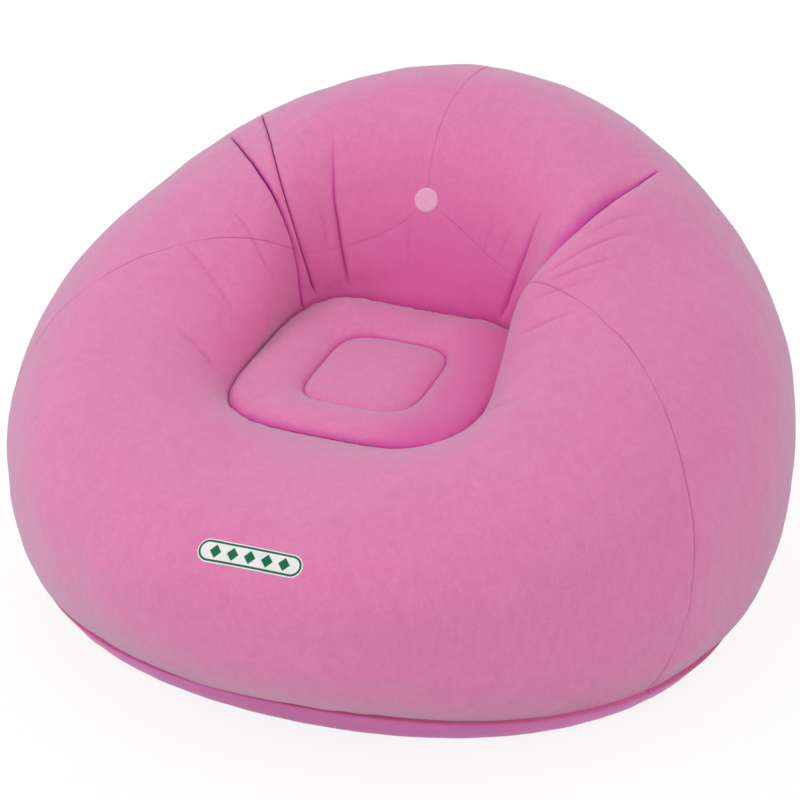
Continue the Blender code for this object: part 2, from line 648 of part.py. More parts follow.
def guide_box(name, low, high, parent=None):
    """A box, given by two corners in millimetres, that only cuts or joins."""
    mesh = bpy.data.meshes.new(name)
    shape = bmesh.new()
    bmesh.ops.create_cube(shape, size=1.0)
    for vert in shape.verts:
        share = vert.co + Vector((0.5, 0.5, 0.5))
        vert.co = [(a + (b - a) * s) * MM for a, b, s in zip(low, high, share)]
    shape.to_mesh(mesh)
    shape.free()
    return as_guide(add_object(name, mesh, parent=parent))


def as_guide(obj):
    """Keep a cutter or a joining shape out of the finished model."""
    obj.hide_render = True
    obj.display_type = "WIRE"
    return obj


def add_boolean(obj, tool, operation):
    """Cut or join an object with a guide."""
    modifier = obj.modifiers.new(tool.name, "BOOLEAN")
    modifier.operation = operation
    modifier.object = tool
    modifier.solver = "EXACT"


def turned(name, profile, look, parent):
    """A piece turned about the valve's axis from a closed profile in millimetres."""
    shape = bmesh.new()
    corners = [shape.verts.new((radius * MM, 0.0, height * MM)) for radius, height in profile]
    edges = [shape.edges.new(pair) for pair in zip(corners, corners[1:] + corners[:1])]
    bmesh.ops.spin(shape, geom=corners + edges, cent=(0.0, 0.0, 0.0), axis=(0.0, 0.0, 1.0),
                   angle=2.0 * math.pi, steps=TURNED_SIDES, use_merge=True)
    bmesh.ops.remove_doubles(shape, verts=shape.verts, dist=SAME_PLACE)
    bmesh.ops.recalc_face_normals(shape, faces=shape.faces)
    mesh = bpy.data.meshes.new(name)
    shape.to_mesh(mesh)
    shape.free()
    mesh.shade_smooth()
    mesh.set_sharp_from_angle(angle=SHARP_EDGE)
    return add_object(name, mesh, look, parent)


def build_valve(panel):
    """Build the valve in its panel: flange, neck, gasket, screw cap, check flap and plug."""
    centre, axis, upward = valve_place()
    frame = Matrix((upward, np.cross(axis, upward), axis)).transposed().to_4x4()
    place = bpy.data.objects.new("valve_axis", None)
    bpy.context.collection.objects.link(place)
    place.matrix_world = Matrix.Translation(centre) @ frame
    hole = guide_cylinder("valve_hole", HOLE_RADIUS * MM, HOLE_CUT * MM, TURNED_SIDES, place)
    add_boolean(panel, hole, "DIFFERENCE")
    turned("valve_flange", FLANGE_PROFILE, INNER_VINYL, place)
    turned("valve_neck", NECK_PROFILE, VALVE_PLASTIC, place)
    turned("valve_gasket", GASKET_PROFILE, VALVE_RUBBER, place)
    turned("check_flap", FLAP_PROFILE, VALVE_RUBBER, place)
    build_cap(place)
    build_plug(place)


def build_cap(place):
    """The screw cap, with the inlet tube, the spider that guides the flap and the strap's anchor."""
    cap = turned("valve_cap", CAP_PROFILE, VALVE_PLASTIC, place)
    hub = as_guide(turned("spider_hub", SPIDER_HUB, None, place))
    add_boolean(cap, hub, "UNION")
    for arm in range(SPIDER_ARMS):
        tool = guide_box("spider_arm_%d" % arm, SPIDER_ARM_LOW, SPIDER_ARM_HIGH, place)
        tool.rotation_euler.z = 2.0 * math.pi * arm / SPIDER_ARMS
        add_boolean(cap, tool, "UNION")
    add_boolean(cap, guide_box("strap_anchor", ANCHOR_LOW, ANCHOR_HIGH, place), "UNION")


def build_plug(place):
    """The inflation plug and its strap, with the origin on the strap's hinge line."""
    plug = turned("inflation_plug", PLUG_PROFILE, VALVE_PLASTIC, place)
    hinge = Vector((HINGE_OFFSET * MM, 0.0, HINGE_HEIGHT * MM))
    plug.data.transform(Matrix.Translation(-hinge))
    plug.location = hinge
    strap = bmesh.new()
    inner_end = STRAP_START - HINGE_OFFSET
    outline = [(inner_end, STRAP_HALF), (inner_end, -STRAP_HALF)]
    for step in range(STRAP_END_STEPS + 1):
        angle = math.pi * step / STRAP_END_STEPS
        outline.append((STRAP_HALF * math.sin(angle), -STRAP_HALF * math.cos(angle)))
    corners = [strap.verts.new((x * MM, -STRAP_WIDTH / 2.0 * MM, z * MM)) for x, z in outline]
    face = strap.faces.new(corners)
    grown = bmesh.ops.extrude_face_region(strap, geom=[face])["geom"]
    moved = [item for item in grown if isinstance(item, bmesh.types.BMVert)]
    bmesh.ops.translate(strap, verts=moved, vec=(0.0, STRAP_WIDTH * MM, 0.0))
    bmesh.ops.recalc_face_normals(strap, faces=strap.faces)
    mesh = bpy.data.meshes.new("plug_strap")
    strap.to_mesh(mesh)
    strap.free()
    tool = as_guide(add_object("plug_strap", mesh, parent=plug))
    add_boolean(plug, tool, "UNION")


def main():
    """Build every piece of the chair."""
    clear_scene()
    patch, rows = skin_patch(seam_lines())
    valve_panel = build_panels(patch)
    build_tapes(patch)
    build_face_patch(patch, "crown_patch", PALE_FLOCK, **CROWN_PATCH)
    build_face_patch(patch, "label_patch", BADGE_FILM, **BADGE)
    build_seat()
    build_base(patch, rows)
    build_tether()
    build_valve(valve_panel)


main()
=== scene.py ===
"""Looks of an inflatable tub chair: flocked panels, padded seat, base, badge and air valve.

Metres, +Z up, the floor at z = 0. The chair faces -Y, so the sitter's left hand is at +X.

The flocked skin is one surface with two coordinates. The turn is the angle about the vertical in
degrees, 0 at +X and 90 at the back. The station runs 0 at the weld round the base, 1 at the belly,
2 on the crest of the arms, back and rim, 3 at the edge of the seat, and a little past both ends.
"""
import logging
import math
from collections.abc import Callable, Sequence
from dataclasses import dataclass, field
from enum import Enum
from typing import ClassVar

import bpy
import numpy as np
from mathutils import Matrix, Vector
from mathutils.kdtree import KDTree
from numpy.typing import NDArray


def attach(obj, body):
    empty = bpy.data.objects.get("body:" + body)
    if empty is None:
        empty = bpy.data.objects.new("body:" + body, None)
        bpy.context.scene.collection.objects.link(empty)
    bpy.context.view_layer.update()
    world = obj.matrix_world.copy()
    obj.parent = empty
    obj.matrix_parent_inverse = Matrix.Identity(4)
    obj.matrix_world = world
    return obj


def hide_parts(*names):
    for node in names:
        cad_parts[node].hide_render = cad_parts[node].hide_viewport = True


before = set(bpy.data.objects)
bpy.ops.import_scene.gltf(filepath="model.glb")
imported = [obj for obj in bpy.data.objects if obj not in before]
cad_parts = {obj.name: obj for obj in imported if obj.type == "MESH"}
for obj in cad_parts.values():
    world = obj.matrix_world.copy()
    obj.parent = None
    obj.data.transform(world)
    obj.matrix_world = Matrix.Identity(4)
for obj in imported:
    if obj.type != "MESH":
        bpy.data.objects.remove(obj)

log = logging.getLogger("tub_chair")

Array = NDArray[np.float64]
Colour = tuple[float, float, float]
FlatPoint = tuple[float, float]

MM = 0.001
JOIN_GAP = 0.3 * MM
SAME_PLACE = 1e-6
BODY = "airbag"


class Slot(Enum):
    """The record's material slots."""

    FLOCK = "flock_pink"
    PALE_FLOCK = "flock_pale"
    BASE = "base_vinyl"
    BADGE = "badge_print"
    INNER = "inner_vinyl"
    VALVE = "valve_plastic"
    RUBBER = "valve_rubber"


class Desk:
    """The node tree of one material or of the world, with one way to add any node."""

    def __init__(self, name: str, world: bpy.types.World | None = None) -> None:
        """Make an empty material, or empty the world's tree.

        Args:
            name: the material's name.
            world: the world, where its tree is wanted.
        """
        self.material = world or bpy.data.materials.new(name)
        self.material.use_nodes = True
        self.tree = self.material.node_tree
        self.tree.nodes.clear()

    def node(self, kind: str, settings: dict[str, object] | None = None,
             inputs: dict[str | int, object] | None = None) -> bpy.types.Node:
        """Add a node, set it up, then fill or link its sockets.

        Args:
            kind: Blender's name of the node's type.
            settings: properties of the node, set before its sockets are filled.
            inputs: socket names or numbers, with values, terms or other nodes' outputs.

        Returns:
            The new node.
        """
        node = self.tree.nodes.new(kind)
        for key, value in (settings or {}).items():
            setattr(node, key, value)
        for key, value in (inputs or {}).items():
            socket = node.inputs[key]
            if isinstance(value, Term):
                self.tree.links.new(value.socket, socket)
            elif isinstance(value, bpy.types.NodeSocket):
                self.tree.links.new(value, socket)
            else:
                socket.default_value = value
        return node

    def maths(self, operation: str, *values: "Term | float") -> "Term":
        """A Math node on up to three numbers."""
        node = self.node("ShaderNodeMath", {"operation": operation}, dict(enumerate(values)))
        return Term(self, node.outputs[0])

    def place(self) -> bpy.types.NodeSocket:
        """Places on the piece, in metres."""
        return self.node("ShaderNodeTexCoord").outputs["Object"]

    def stretched(self, place: bpy.types.NodeSocket, scale: Colour, turn: Colour = (0, 0, 0)) -> bpy.types.NodeSocket:
        """Places turned and stretched by a Mapping node."""
        node = self.node("ShaderNodeMapping", None, {"Vector": place, "Scale": scale, "Rotation": turn})
        return node.outputs["Vector"]

    def noise(self, place: bpy.types.NodeSocket, scale: float, detail: float = 2.0, rough: float = 0.5,
              twist: float = 0.0) -> "Term":
        """Cloudy noise from 0 to 1."""
        node = self.node("ShaderNodeTexNoise", None, {
            "Vector": place, "Scale": scale, "Detail": detail, "Roughness": rough, "Distortion": twist})
        return Term(self, node.outputs[0])

    def cells(self, place: bpy.types.NodeSocket, scale: float) -> "Term":
        """Distance to the nearest of many scattered points."""
        node = self.node("ShaderNodeTexVoronoi", None, {"Vector": place, "Scale": scale})
        return Term(self, node.outputs["Distance"])

    def attribute(self, name: str) -> "Term":
        """A number stored on the mesh."""
        node = self.node("ShaderNodeAttribute", {"attribute_name": name})
        return Term(self, node.outputs["Fac"])

    def colours(self, factor: "Term", first: "Colour | bpy.types.NodeSocket",
                second: "Colour | bpy.types.NodeSocket", how: str = "MIX") -> bpy.types.NodeSocket:
        """Mix two colours by a factor."""
        settings = {"data_type": "RGBA", "blend_type": how, "clamp_factor": True}
        first, second = (c if isinstance(c, bpy.types.NodeSocket) else (*c, 1.0) for c in (first, second))
        node = self.node("ShaderNodeMix", settings, {0: factor, 6: first, 7: second})
        return node.outputs[2]

    def bump(self, height: "Term", depth: float, strength: float = 1.0) -> bpy.types.NodeSocket:
        """A normal that follows a height.

        Args:
            height: the height, from 0 to 1.
            depth: metres that a height of 1 stands for.
            strength: how much of it shows.

        Returns:
            The normal.
        """
        node = self.node("ShaderNodeBump", None, {"Height": height, "Distance": depth, "Strength": strength})
        return node.outputs["Normal"]

    def principled(self, **inputs: object) -> bpy.types.NodeSocket:
        """A Principled shader.

        Args:
            **inputs: its sockets, with underscores for the spaces in their names.

        Returns:
            The shader's output.
        """
        named = {key.replace("_", " "): value for key, value in inputs.items()}
        return self.node("ShaderNodeBsdfPrincipled", None, named).outputs[0]

    def mixed(self, factor: "Term", first: bpy.types.NodeSocket, second: bpy.types.NodeSocket) -> bpy.types.NodeSocket:
        """One shader turning into another where a factor goes from 0 to 1."""
        return self.node("ShaderNodeMixShader", None, {0: factor, 1: first, 2: second}).outputs[0]

    def finish(self, shader: bpy.types.NodeSocket) -> bpy.types.Material:
        """End the tree in a shader and hand over the material."""
        self.node("ShaderNodeOutputMaterial", None, {"Surface": shader})
        return self.material


class Term:
    """A number in a material, which takes part in sums and products like any other."""

    def __init__(self, desk: Desk, socket: bpy.types.NodeSocket) -> None:
        """Wrap a socket of a desk's tree."""
        self.desk = desk
        self.socket = socket

    def __add__(self, other: "Term | float") -> "Term":
        """The sum."""
        return self.desk.maths("ADD", self, other)

    __radd__ = __add__

    def __sub__(self, other: "Term | float") -> "Term":
        """What is left after taking the other away."""
        return self.desk.maths("SUBTRACT", self, other)

    def __rsub__(self, other: float) -> "Term":
        """What is left of a plain number."""
        return self.desk.maths("SUBTRACT", other, self)

    def __mul__(self, other: "Term | float") -> "Term":
        """The product."""
        return self.desk.maths("MULTIPLY", self, other)

    __rmul__ = __mul__

    def __truediv__(self, other: "Term | float") -> "Term":
        """The quotient."""
        return self.desk.maths("DIVIDE", self, other)

    def __pow__(self, power: float) -> "Term":
        """A power."""
        return self.desk.maths("POWER", self, power)

    def clipped(self) -> "Term":
        """Kept between 0 and 1."""
        return self.desk.maths("MAXIMUM", self.desk.maths("MINIMUM", self, 1.0), 0.0)

    def eased(self, low: float, high: float) -> "Term":
        """0 below low and 1 above high, with a soft step between them."""
        node = self.desk.node("ShaderNodeMapRange", {"interpolation_type": "SMOOTHSTEP"}, {
            "Value": self, "From Min": low, "From Max": high})
        return Term(self.desk, node.outputs[0])


@dataclass(frozen=True)
class FlockedVelour:
    """Short velour flock on vinyl, brushed one way and another by use, with shade painted low in the well and into its
    creases.
    """

    name: str
    lit: Colour
    shaded: Colour
    fuzz: Colour = (0.44, 0.90, 0.84)
    fuzz_weight: float = 0.63

    # Shares of the shaded colour: painted shade low in the well, also the base weld's deeper pink; painted shade
    # beside a crease, also the seam lines' colour; and darker painted shade in a crease's line
    TINTS: ClassVar[tuple[Colour, Colour, Colour]] = ((1.0, 0.60, 0.96), (0.82, 0.12, 0.90), (0.40, 0.03, 0.55))

    def build(self) -> bpy.types.Material:
        """Make the material."""
        desk = Desk(self.name)
        place = desk.place()
        drift = desk.noise(place, 5.0, 2.0, 0.5, 0.3)
        brushed = desk.noise(desk.stretched(place, (1.0, 1.0, 0.6), (0.3, 0.5, 0.2)), 70.0, 5.0, 0.66, 0.6)
        specks = desk.noise(place, 380.0, 3.0, 0.75)
        tips = desk.cells(place, 1500.0)
        nap = (brushed - 0.5) * 1.05 + (drift - 0.5) * 0.35 + (specks - 0.5) * 1.5 + 0.5
        colour = desk.colours(nap.eased(0.05, 0.95), self.shaded, self.lit)
        # Copies of the shaded colour for painted shade: low in the well, beside a crease and in a crease's line
        inside, beside, crease_line_shade = (tuple(c * s for c, s in zip(self.shaded, tint)) for tint in self.TINTS)
        # Shade painted low at the back and right of the well and on the seat's right, and a deeper pink at the base
        # weld
        colour = desk.colours(desk.attribute("painted_shade_and_lip_tint") * 0.8, colour, inside)
        # Shade painted into and beside creases, along the seat's edges and weld and in the wall's corner, with the
        # darker seam lines
        shade_and_seam_line = desk.attribute("shade_and_seam_line")
        shade_and_seam_colour = desk.colours(shade_and_seam_line.eased(0.35, 0.95), beside, crease_line_shade)
        rough = (0.93 - nap * 0.1).clipped()
        height = specks * 0.6 + brushed * 0.2 + tips * 0.35
        relief = desk.bump(height, 1.0 * MM, 0.6)
        upright = desk.principled(Base_Color=colour, Roughness=rough, Normal=relief, Specular_IOR_Level=0.15,
                                  Sheen_Weight=self.fuzz_weight, Sheen_Roughness=0.45, Sheen_Tint=(*self.fuzz, 1.0))
        # A sheen-free shader in that painted shade, which takes over from the flock's sheen where it is painted
        flattened = desk.principled(Base_Color=shade_and_seam_colour, Roughness=rough, Normal=relief, Specular_IOR_Level=0.1)
        return desk.finish(desk.mixed((shade_and_seam_line * 1.25).clipped(), upright, flattened))


@dataclass(frozen=True)
class SatinVinyl:
    """Smooth calendered vinyl with a faint haze and fine scuffs."""

    name: str
    colour: Colour
    dark: Colour
    roughness: float = 0.42

    def build(self) -> bpy.types.Material:
        """Make the material."""
        desk = Desk(self.name)
        place = desk.place()
        haze = desk.noise(place, 14.0, 3.0, 0.55, 0.5)
        scuffs = desk.noise(desk.stretched(place, (1.0, 0.2, 1.0), (0.0, 0.0, 0.6)), 260.0, 3.0, 0.6)
        grain = desk.noise(place, 1200.0, 2.0, 0.5)
        colour = desk.colours(haze.eased(0.25, 0.8), self.dark, self.colour)
        rough = self.roughness + (haze - 0.5) * 0.18 + scuffs.eased(0.55, 0.75) * 0.12
        height = haze * 0.6 + grain * 0.3
        return desk.finish(desk.principled(Base_Color=colour, Roughness=rough.clipped(),
                                           Normal=desk.bump(height, 0.25 * MM, 0.5)))


@dataclass(frozen=True)
class ClearVinyl:
    """Milky clear vinyl, used where the sheet is hidden."""

    name: str
    colour: Colour

    def build(self) -> bpy.types.Material:
        """Make the material."""
        desk = Desk(self.name)
        place = desk.place()
        cloud = desk.noise(place, 22.0, 3.0, 0.6, 0.4)
        press = desk.noise(place, 700.0, 2.0, 0.5)
        colour = desk.colours(cloud.eased(0.3, 0.75), tuple(c * 0.86 for c in self.colour), self.colour)
        return desk.finish(desk.principled(
            Base_Color=colour, Roughness=(0.22 + cloud * 0.16).clipped(), Alpha=(0.72 + cloud * 0.16).clipped(),
            Normal=desk.bump(press, 0.15 * MM, 0.4)))


@dataclass(frozen=True)
class PrintedFilm:
    """Printed film, slightly glossy, with faint rubbing."""

    name: str
    colour: Colour

    def build(self) -> bpy.types.Material:
        """Make the material."""
        desk = Desk(self.name)
        place = desk.place()
        rub = desk.noise(desk.stretched(place, (0.3, 1.0, 1.0)), 320.0, 3.0, 0.6)
        stain = desk.noise(place, 45.0, 2.0, 0.5)
        colour = desk.colours(stain.eased(0.35, 0.8), self.colour, tuple(c * 0.9 for c in self.colour))
        return desk.finish(desk.principled(Base_Color=colour, Roughness=(0.3 + rub * 0.2).clipped(),
                                           Normal=desk.bump(rub, 0.08 * MM, 0.4), Specular_IOR_Level=0.2))


@dataclass(frozen=True)
class MouldedPlastic:
    """Injection-moulded valve plastic with a fine spark texture and handling marks."""

    name: str
    colour: Colour
    roughness: float = 0.34

    def build(self) -> bpy.types.Material:
        """Make the material."""
        desk = Desk(self.name)
        place = desk.place()
        flow = desk.noise(desk.stretched(place, (1.0, 1.0, 3.0)), 90.0, 3.0, 0.5, 0.6)
        spark = desk.noise(place, 2600.0, 2.0, 0.6)
        grime = desk.noise(place, 160.0, 4.0, 0.7)
        colour = desk.colours(flow.eased(0.2, 0.9), tuple(c * 0.9 for c in self.colour), self.colour)
        colour = desk.colours(grime.eased(0.62, 0.85) * 0.35, colour, tuple(c * 0.72 for c in self.colour))
        rough = self.roughness + (spark - 0.5) * 0.16 + grime.eased(0.5, 0.8) * 0.1
        return desk.finish(desk.principled(Base_Color=colour, Roughness=rough.clipped(),
                                           Normal=desk.bump(spark, 0.05 * MM, 0.5)))


@dataclass(frozen=True)
class SoftRubber:
    """Matt moulded rubber with a bloom."""

    name: str
    colour: Colour

    def build(self) -> bpy.types.Material:
        """Make the material."""
        desk = Desk(self.name)
        place = desk.place()
        bloom = desk.noise(place, 240.0, 4.0, 0.65)
        grain = desk.noise(place, 3000.0, 2.0, 0.5)
        colour = desk.colours(bloom.eased(0.45, 0.8) * 0.4, self.colour, tuple(c * 1.7 + 0.02 for c in self.colour))
        return desk.finish(desk.principled(Base_Color=colour, Roughness=(0.62 + bloom * 0.2).clipped(),
                                           Normal=desk.bump(grain, 0.04 * MM, 0.5)))


class Palette:
    """Every finish of the chair, made once."""

    def __init__(self) -> None:
        """Build the materials."""
        pink = FlockedVelour("pink_flock", (0.880, 0.268, 0.528), (0.800, 0.211, 0.452))
        pale = FlockedVelour("pale_flock", (0.930, 0.500, 0.710), (0.885, 0.430, 0.650), fuzz_weight=0.3)
        self.flock = pink.build()
        self.pale_flock = pale.build()
        self.base = SatinVinyl("mauve_vinyl", (0.80, 0.240, 0.570), (0.71, 0.190, 0.490)).build()
        self.inner = ClearVinyl("milky_vinyl", (0.78, 0.70, 0.74)).build()
        self.film = PrintedFilm("badge_film", (0.95, 0.93, 0.94)).build()
        self.ink = PrintedFilm("badge_ink", (0.002, 0.150, 0.066)).build()
        self.plastic = MouldedPlastic("valve_white", (0.80, 0.78, 0.78)).build()
        self.rubber = SoftRubber("valve_rubber", (0.055, 0.055, 0.060)).build()


def front_side_back(turn: Array, values: tuple[float, float, float]) -> Array:
    """A value that runs smoothly round the chair.

    Args:
        turn: turns in degrees.
        values: the value at the front, the sides and the back.

    Returns:
        The value at each turn.
    """
    front, side, back = values
    along = np.sin(np.radians(turn))
    return side + (back - front) / 2.0 * along + ((back + front) / 2.0 - side) * along ** 2


@dataclass(frozen=True)
class LevelLine:
    """A closed line round the chair, as seen from above, with its heights.

    Attributes:
        half: half its width.
        deep: its depth over its width.
        centre: its centre's y.
        lobe: a three-lobed swing of its radius.
        power: 2 for a round line, more for a square one.
        heights: heights at the front, the sides and the back, or None in the seat's plane.
    """

    half: float
    deep: float
    centre: float
    lobe: float = 0.0
    power: float = 2.0
    heights: tuple[float, float, float] | None = None

    def points(self, turn: Array) -> Array:
        """Points of the line at some turns in degrees."""
        across, along = np.cos(np.radians(turn)), np.sin(np.radians(turn))
        reach = (np.abs(across) ** self.power + np.abs(along) ** self.power) ** (-1.0 / self.power)
        reach = reach * (1.0 - self.lobe * np.sin(3.0 * np.radians(turn)))
        x = self.half * across * reach
        y = self.centre + self.half * self.deep * along * reach
        if self.heights is None:
            return np.stack([x, y, SeatPlane.height(y)], -1)
        return np.stack([x, y, front_side_back(turn, self.heights)], -1)


class SeatPlane:
    """The plane of the seat's welds, which rises gently to the back."""

    LEVEL = 0.3588
    RISE = 0.071

    @classmethod
    def height(cls, y: Array) -> Array:
        """Height of the plane at some y."""
        return cls.LEVEL + cls.RISE * y


BASE_LINE = LevelLine(0.505, 0.968, 0.035, 0.046, heights=(0.0405, 0.0405, 0.0405))
BELLY_LINE = LevelLine(0.560, 0.991, 0.0098, -0.0176, heights=(0.242, 0.219, 0.2835))
CREST_LINE = LevelLine(0.325, 1.070, -0.029, 0.0344, heights=(0.358, 0.492, 0.664))
SEAT_LINE = LevelLine(0.181, 1.0134, -0.0547, power=4.0)
WELD_LINE = LevelLine(0.084, 1.154, -0.0627, power=4.0)


def smooth_step(share: Array) -> Array:
    """A soft step from 0 to 1 as share goes from 0 to 1."""
    share = np.clip(share, 0.0, 1.0)
    return share * share * (3.0 - 2.0 * share)


def smooth_line(controls: Sequence[FlatPoint], samples: int = 16) -> Array:
    """A smooth curve through given points.

    Args:
        controls: the points.
        samples: how many places there are from each point to the next.

    Returns:
        Points of the curve.
    """
    points = np.array(controls, float)
    ends = np.concatenate([2 * points[:1] - points[1:2], points, 2 * points[-1:] - points[-2:-1]])
    share = np.linspace(0.0, 1.0, samples, endpoint=False)[:, None]
    runs = []
    for a, b, c, d in zip(ends, ends[1:], ends[2:], ends[3:]):
        runs.append(0.5 * (2 * b + (c - a) * share + (2 * a - 5 * b + 4 * c - d) * share ** 2
                           + (3 * b - a - 3 * c + d) * share ** 3))
    return np.concatenate(runs + [points[-1:]])


@dataclass(frozen=True)
class Ripple:
    """A smooth, uneven swell of a surface, worked out from place alone.

    Attributes:
        wavelength: the usual distance from one rise to the next.
        height: how high the rises are.
        seed: picks the waves.
        waves: how many plain waves are added up.
    """

    wavelength: float
    height: float
    seed: int
    waves: int = 11

    def at(self, points: Array) -> Array:
        """Height of the swell at some points."""
        draw = np.random.default_rng(self.seed)
        total = np.zeros(len(points))
        for _ in range(self.waves):
            way = draw.normal(size=points.shape[1])
            way = way / np.linalg.norm(way) * 2.0 * math.pi / (self.wavelength * draw.uniform(0.7, 1.5))
            total += np.sin(points @ way + draw.uniform(0.0, 2.0 * math.pi))
        return total * self.height / math.sqrt(self.waves / 2.0)


class BaseWeld:
    """The weld round the base, a flat lip of both sheets that stands out from a drawn-in root."""

    TUCK = 5 * MM
    LIP = 7 * MM
    DROOP = 0.8 * MM
    LIFT = 4.5 * MM
    LIFT_TURN = 284.0
    LIFT_HALF = 24.0

    @classmethod
    def shift(cls, points: Array, turn: Array, calm: Array, out: Array) -> Array:
        """How far the sheets are drawn in and lifted at the weld.

        Args:
            points: points of the sheet.
            turn: their turns in degrees.
            calm: 1 at the weld, falling to 0 away from it.
            out: how far out along the lip they are, from 0 to 1.

        Returns:
            The steps to add to the points.
        """
        outward = points[:, :2] / np.linalg.norm(points[:, :2], axis=1, keepdims=True)
        lift = cls.LIFT * np.exp(-((turn - cls.LIFT_TURN) / cls.LIFT_HALF) ** 2) * calm
        return np.column_stack([outward * (cls.LIP * out - cls.TUCK * calm)[:, None], lift - cls.DROOP * out])


SWELLS = (Ripple(0.30, 1.6 * MM, 3), Ripple(0.11, 0.55 * MM, 7), Ripple(0.045, 0.2 * MM, 11))


class AirSkin:
    """The plain swollen skin, from the base weld over the arms and back to the seat's edge."""

    UNDERCUT = 0.9
    FRONT_UNDERCUT = 0.58
    LOWER_BULGE = 0.9645
    UPPER_BULGE = 2.14
    WELL_SWEEP = (0.37, 1.1, 0.9)
    STEP = 0.02
    SHY = 0.002

    @staticmethod
    def _between(start: Array, end: Array, plan: Array, height: Array) -> Array:
        """Go from one line to another by separate shares in plan and in height."""
        step = end - start
        return start + np.concatenate([step[..., :2] * plan[..., None], step[..., 2:] * height[..., None]], -1)

    @classmethod
    def at(cls, turn: Array, station: Array) -> Array:
        """Points of the skin at some turns and stations."""
        turn, station = np.broadcast_arrays(turn, np.clip(station, 0.0, 3.0))
        base, belly, crest, seat = (line.points(turn) for line in (BASE_LINE, BELLY_LINE, CREST_LINE, SEAT_LINE))
        # The back half keeps the part's own undercut, since the valve stands on it
        ahead = smooth_step(-np.sin(np.radians(turn)))
        full = math.pi / 2.0 * (cls.UNDERCUT + (cls.FRONT_UNDERCUT - cls.UNDERCUT) * ahead)
        sweep = np.clip(1.0 - station, 0.0, 1.0) * full
        plan = ((1.0 - np.cos(sweep)) / (1.0 - np.cos(full))) ** cls.LOWER_BULGE
        lower = cls._between(belly, base, plan, np.sin(sweep) / np.sin(full))
        sweep = np.clip(station - 1.0, 0.0, 1.0) * math.pi / 2.0
        upper = cls._between(belly, crest, 1.0 - np.cos(sweep) ** (2.0 / cls.UPPER_BULGE),
                             np.sin(sweep) ** (2.0 / cls.UPPER_BULGE))
        full = math.pi / 2.0 * front_side_back(turn, cls.WELL_SWEEP)
        sweep = np.clip(station - 2.0, 0.0, 1.0) * full
        well = cls._between(crest, seat, np.sin(sweep) / np.sin(full), (1.0 - np.cos(sweep)) / (1.0 - np.cos(full)))
        return np.where((station < 1.0)[..., None], lower, np.where((station < 2.0)[..., None], upper, well))

    @classmethod
    def outward(cls, turn: Array, station: Array) -> Array:
        """Unit direction out of the air space."""
        inner = np.clip(station, cls.SHY, 3.0 - cls.SHY)
        small = cls.SHY / 2.0
        round_it = cls.at(turn + cls.STEP, inner) - cls.at(turn - cls.STEP, inner)
        along_it = cls.at(turn, inner + small) - cls.at(turn, inner - small)
        out = np.cross(round_it, along_it)
        return out / np.linalg.norm(out, axis=-1, keepdims=True)


class Route:
    """A line over the skin: where it runs, how long it is and what is nearest to it."""

    def __init__(self, controls: Sequence[FlatPoint]) -> None:
        """Lay the line.

        Args:
            controls: the points, as turn and station; a station of 2.0 is the crest.
        """
        crest = [number for number, point in enumerate(controls) if point[1] == 2.0]
        # Lines of equal turn bend at the crest, so a path that names it is smooth on either side of it
        runs = [controls[start:end + 1] for start, end in zip([0] + crest, crest + [len(controls) - 1])]
        self.flat = np.concatenate([smooth_line(run)[number > 0:] for number, run in enumerate(runs)])
        self.points = AirSkin.at(self.flat[:, 0], self.flat[:, 1])
        steps = np.linalg.norm(np.diff(self.points, axis=0), axis=1)
        self.along = np.concatenate([[0.0], np.cumsum(steps)])
        self.tree = KDTree(len(self.points))
        for number, point in enumerate(self.points):
            self.tree.insert(point, number)
        self.tree.balance()

    def turn_at(self, station: Array) -> Array:
        """Turn of the line at some stations, level past its ends."""
        order = np.argsort(self.flat[:, 1], kind="stable")
        return np.interp(station, self.flat[order, 1], self.flat[order, 0])

    def nearest(self, points: Array) -> tuple[Array, Array, Array, Array]:
        """What part of the line is nearest to each point.

        Args:
            points: points near the skin.

        Returns:
            The distances, the places along the line, the feet as turn and station, and the
            line's direction there.
        """
        picks = np.array([self.tree.find(point)[1] for point in points], int)
        away = np.full(len(points), np.inf)
        along = np.zeros(len(points))
        feet = np.zeros((len(points), 2))
        way = np.zeros((len(points), 3))
        for start in (np.clip(picks - 1, 0, len(self.points) - 2), np.clip(picks, 0, len(self.points) - 2)):
            run = self.points[start + 1] - self.points[start]
            length = np.maximum((run ** 2).sum(-1), SAME_PLACE ** 2)
            share = np.clip(((points - self.points[start]) * run).sum(-1) / length, 0.0, 1.0)
            here = np.linalg.norm(points - self.points[start] - run * share[:, None], axis=1)
            better = here < away
            away = np.where(better, here, away)
            along = np.where(better, self.along[start] + share * np.sqrt(length), along)
            foot = self.flat[start] + (self.flat[start + 1] - self.flat[start]) * share[:, None]
            feet = np.where(better[:, None], foot, feet)
            way = np.where(better[:, None], run / np.sqrt(length)[:, None], way)
        return away, along, feet, way


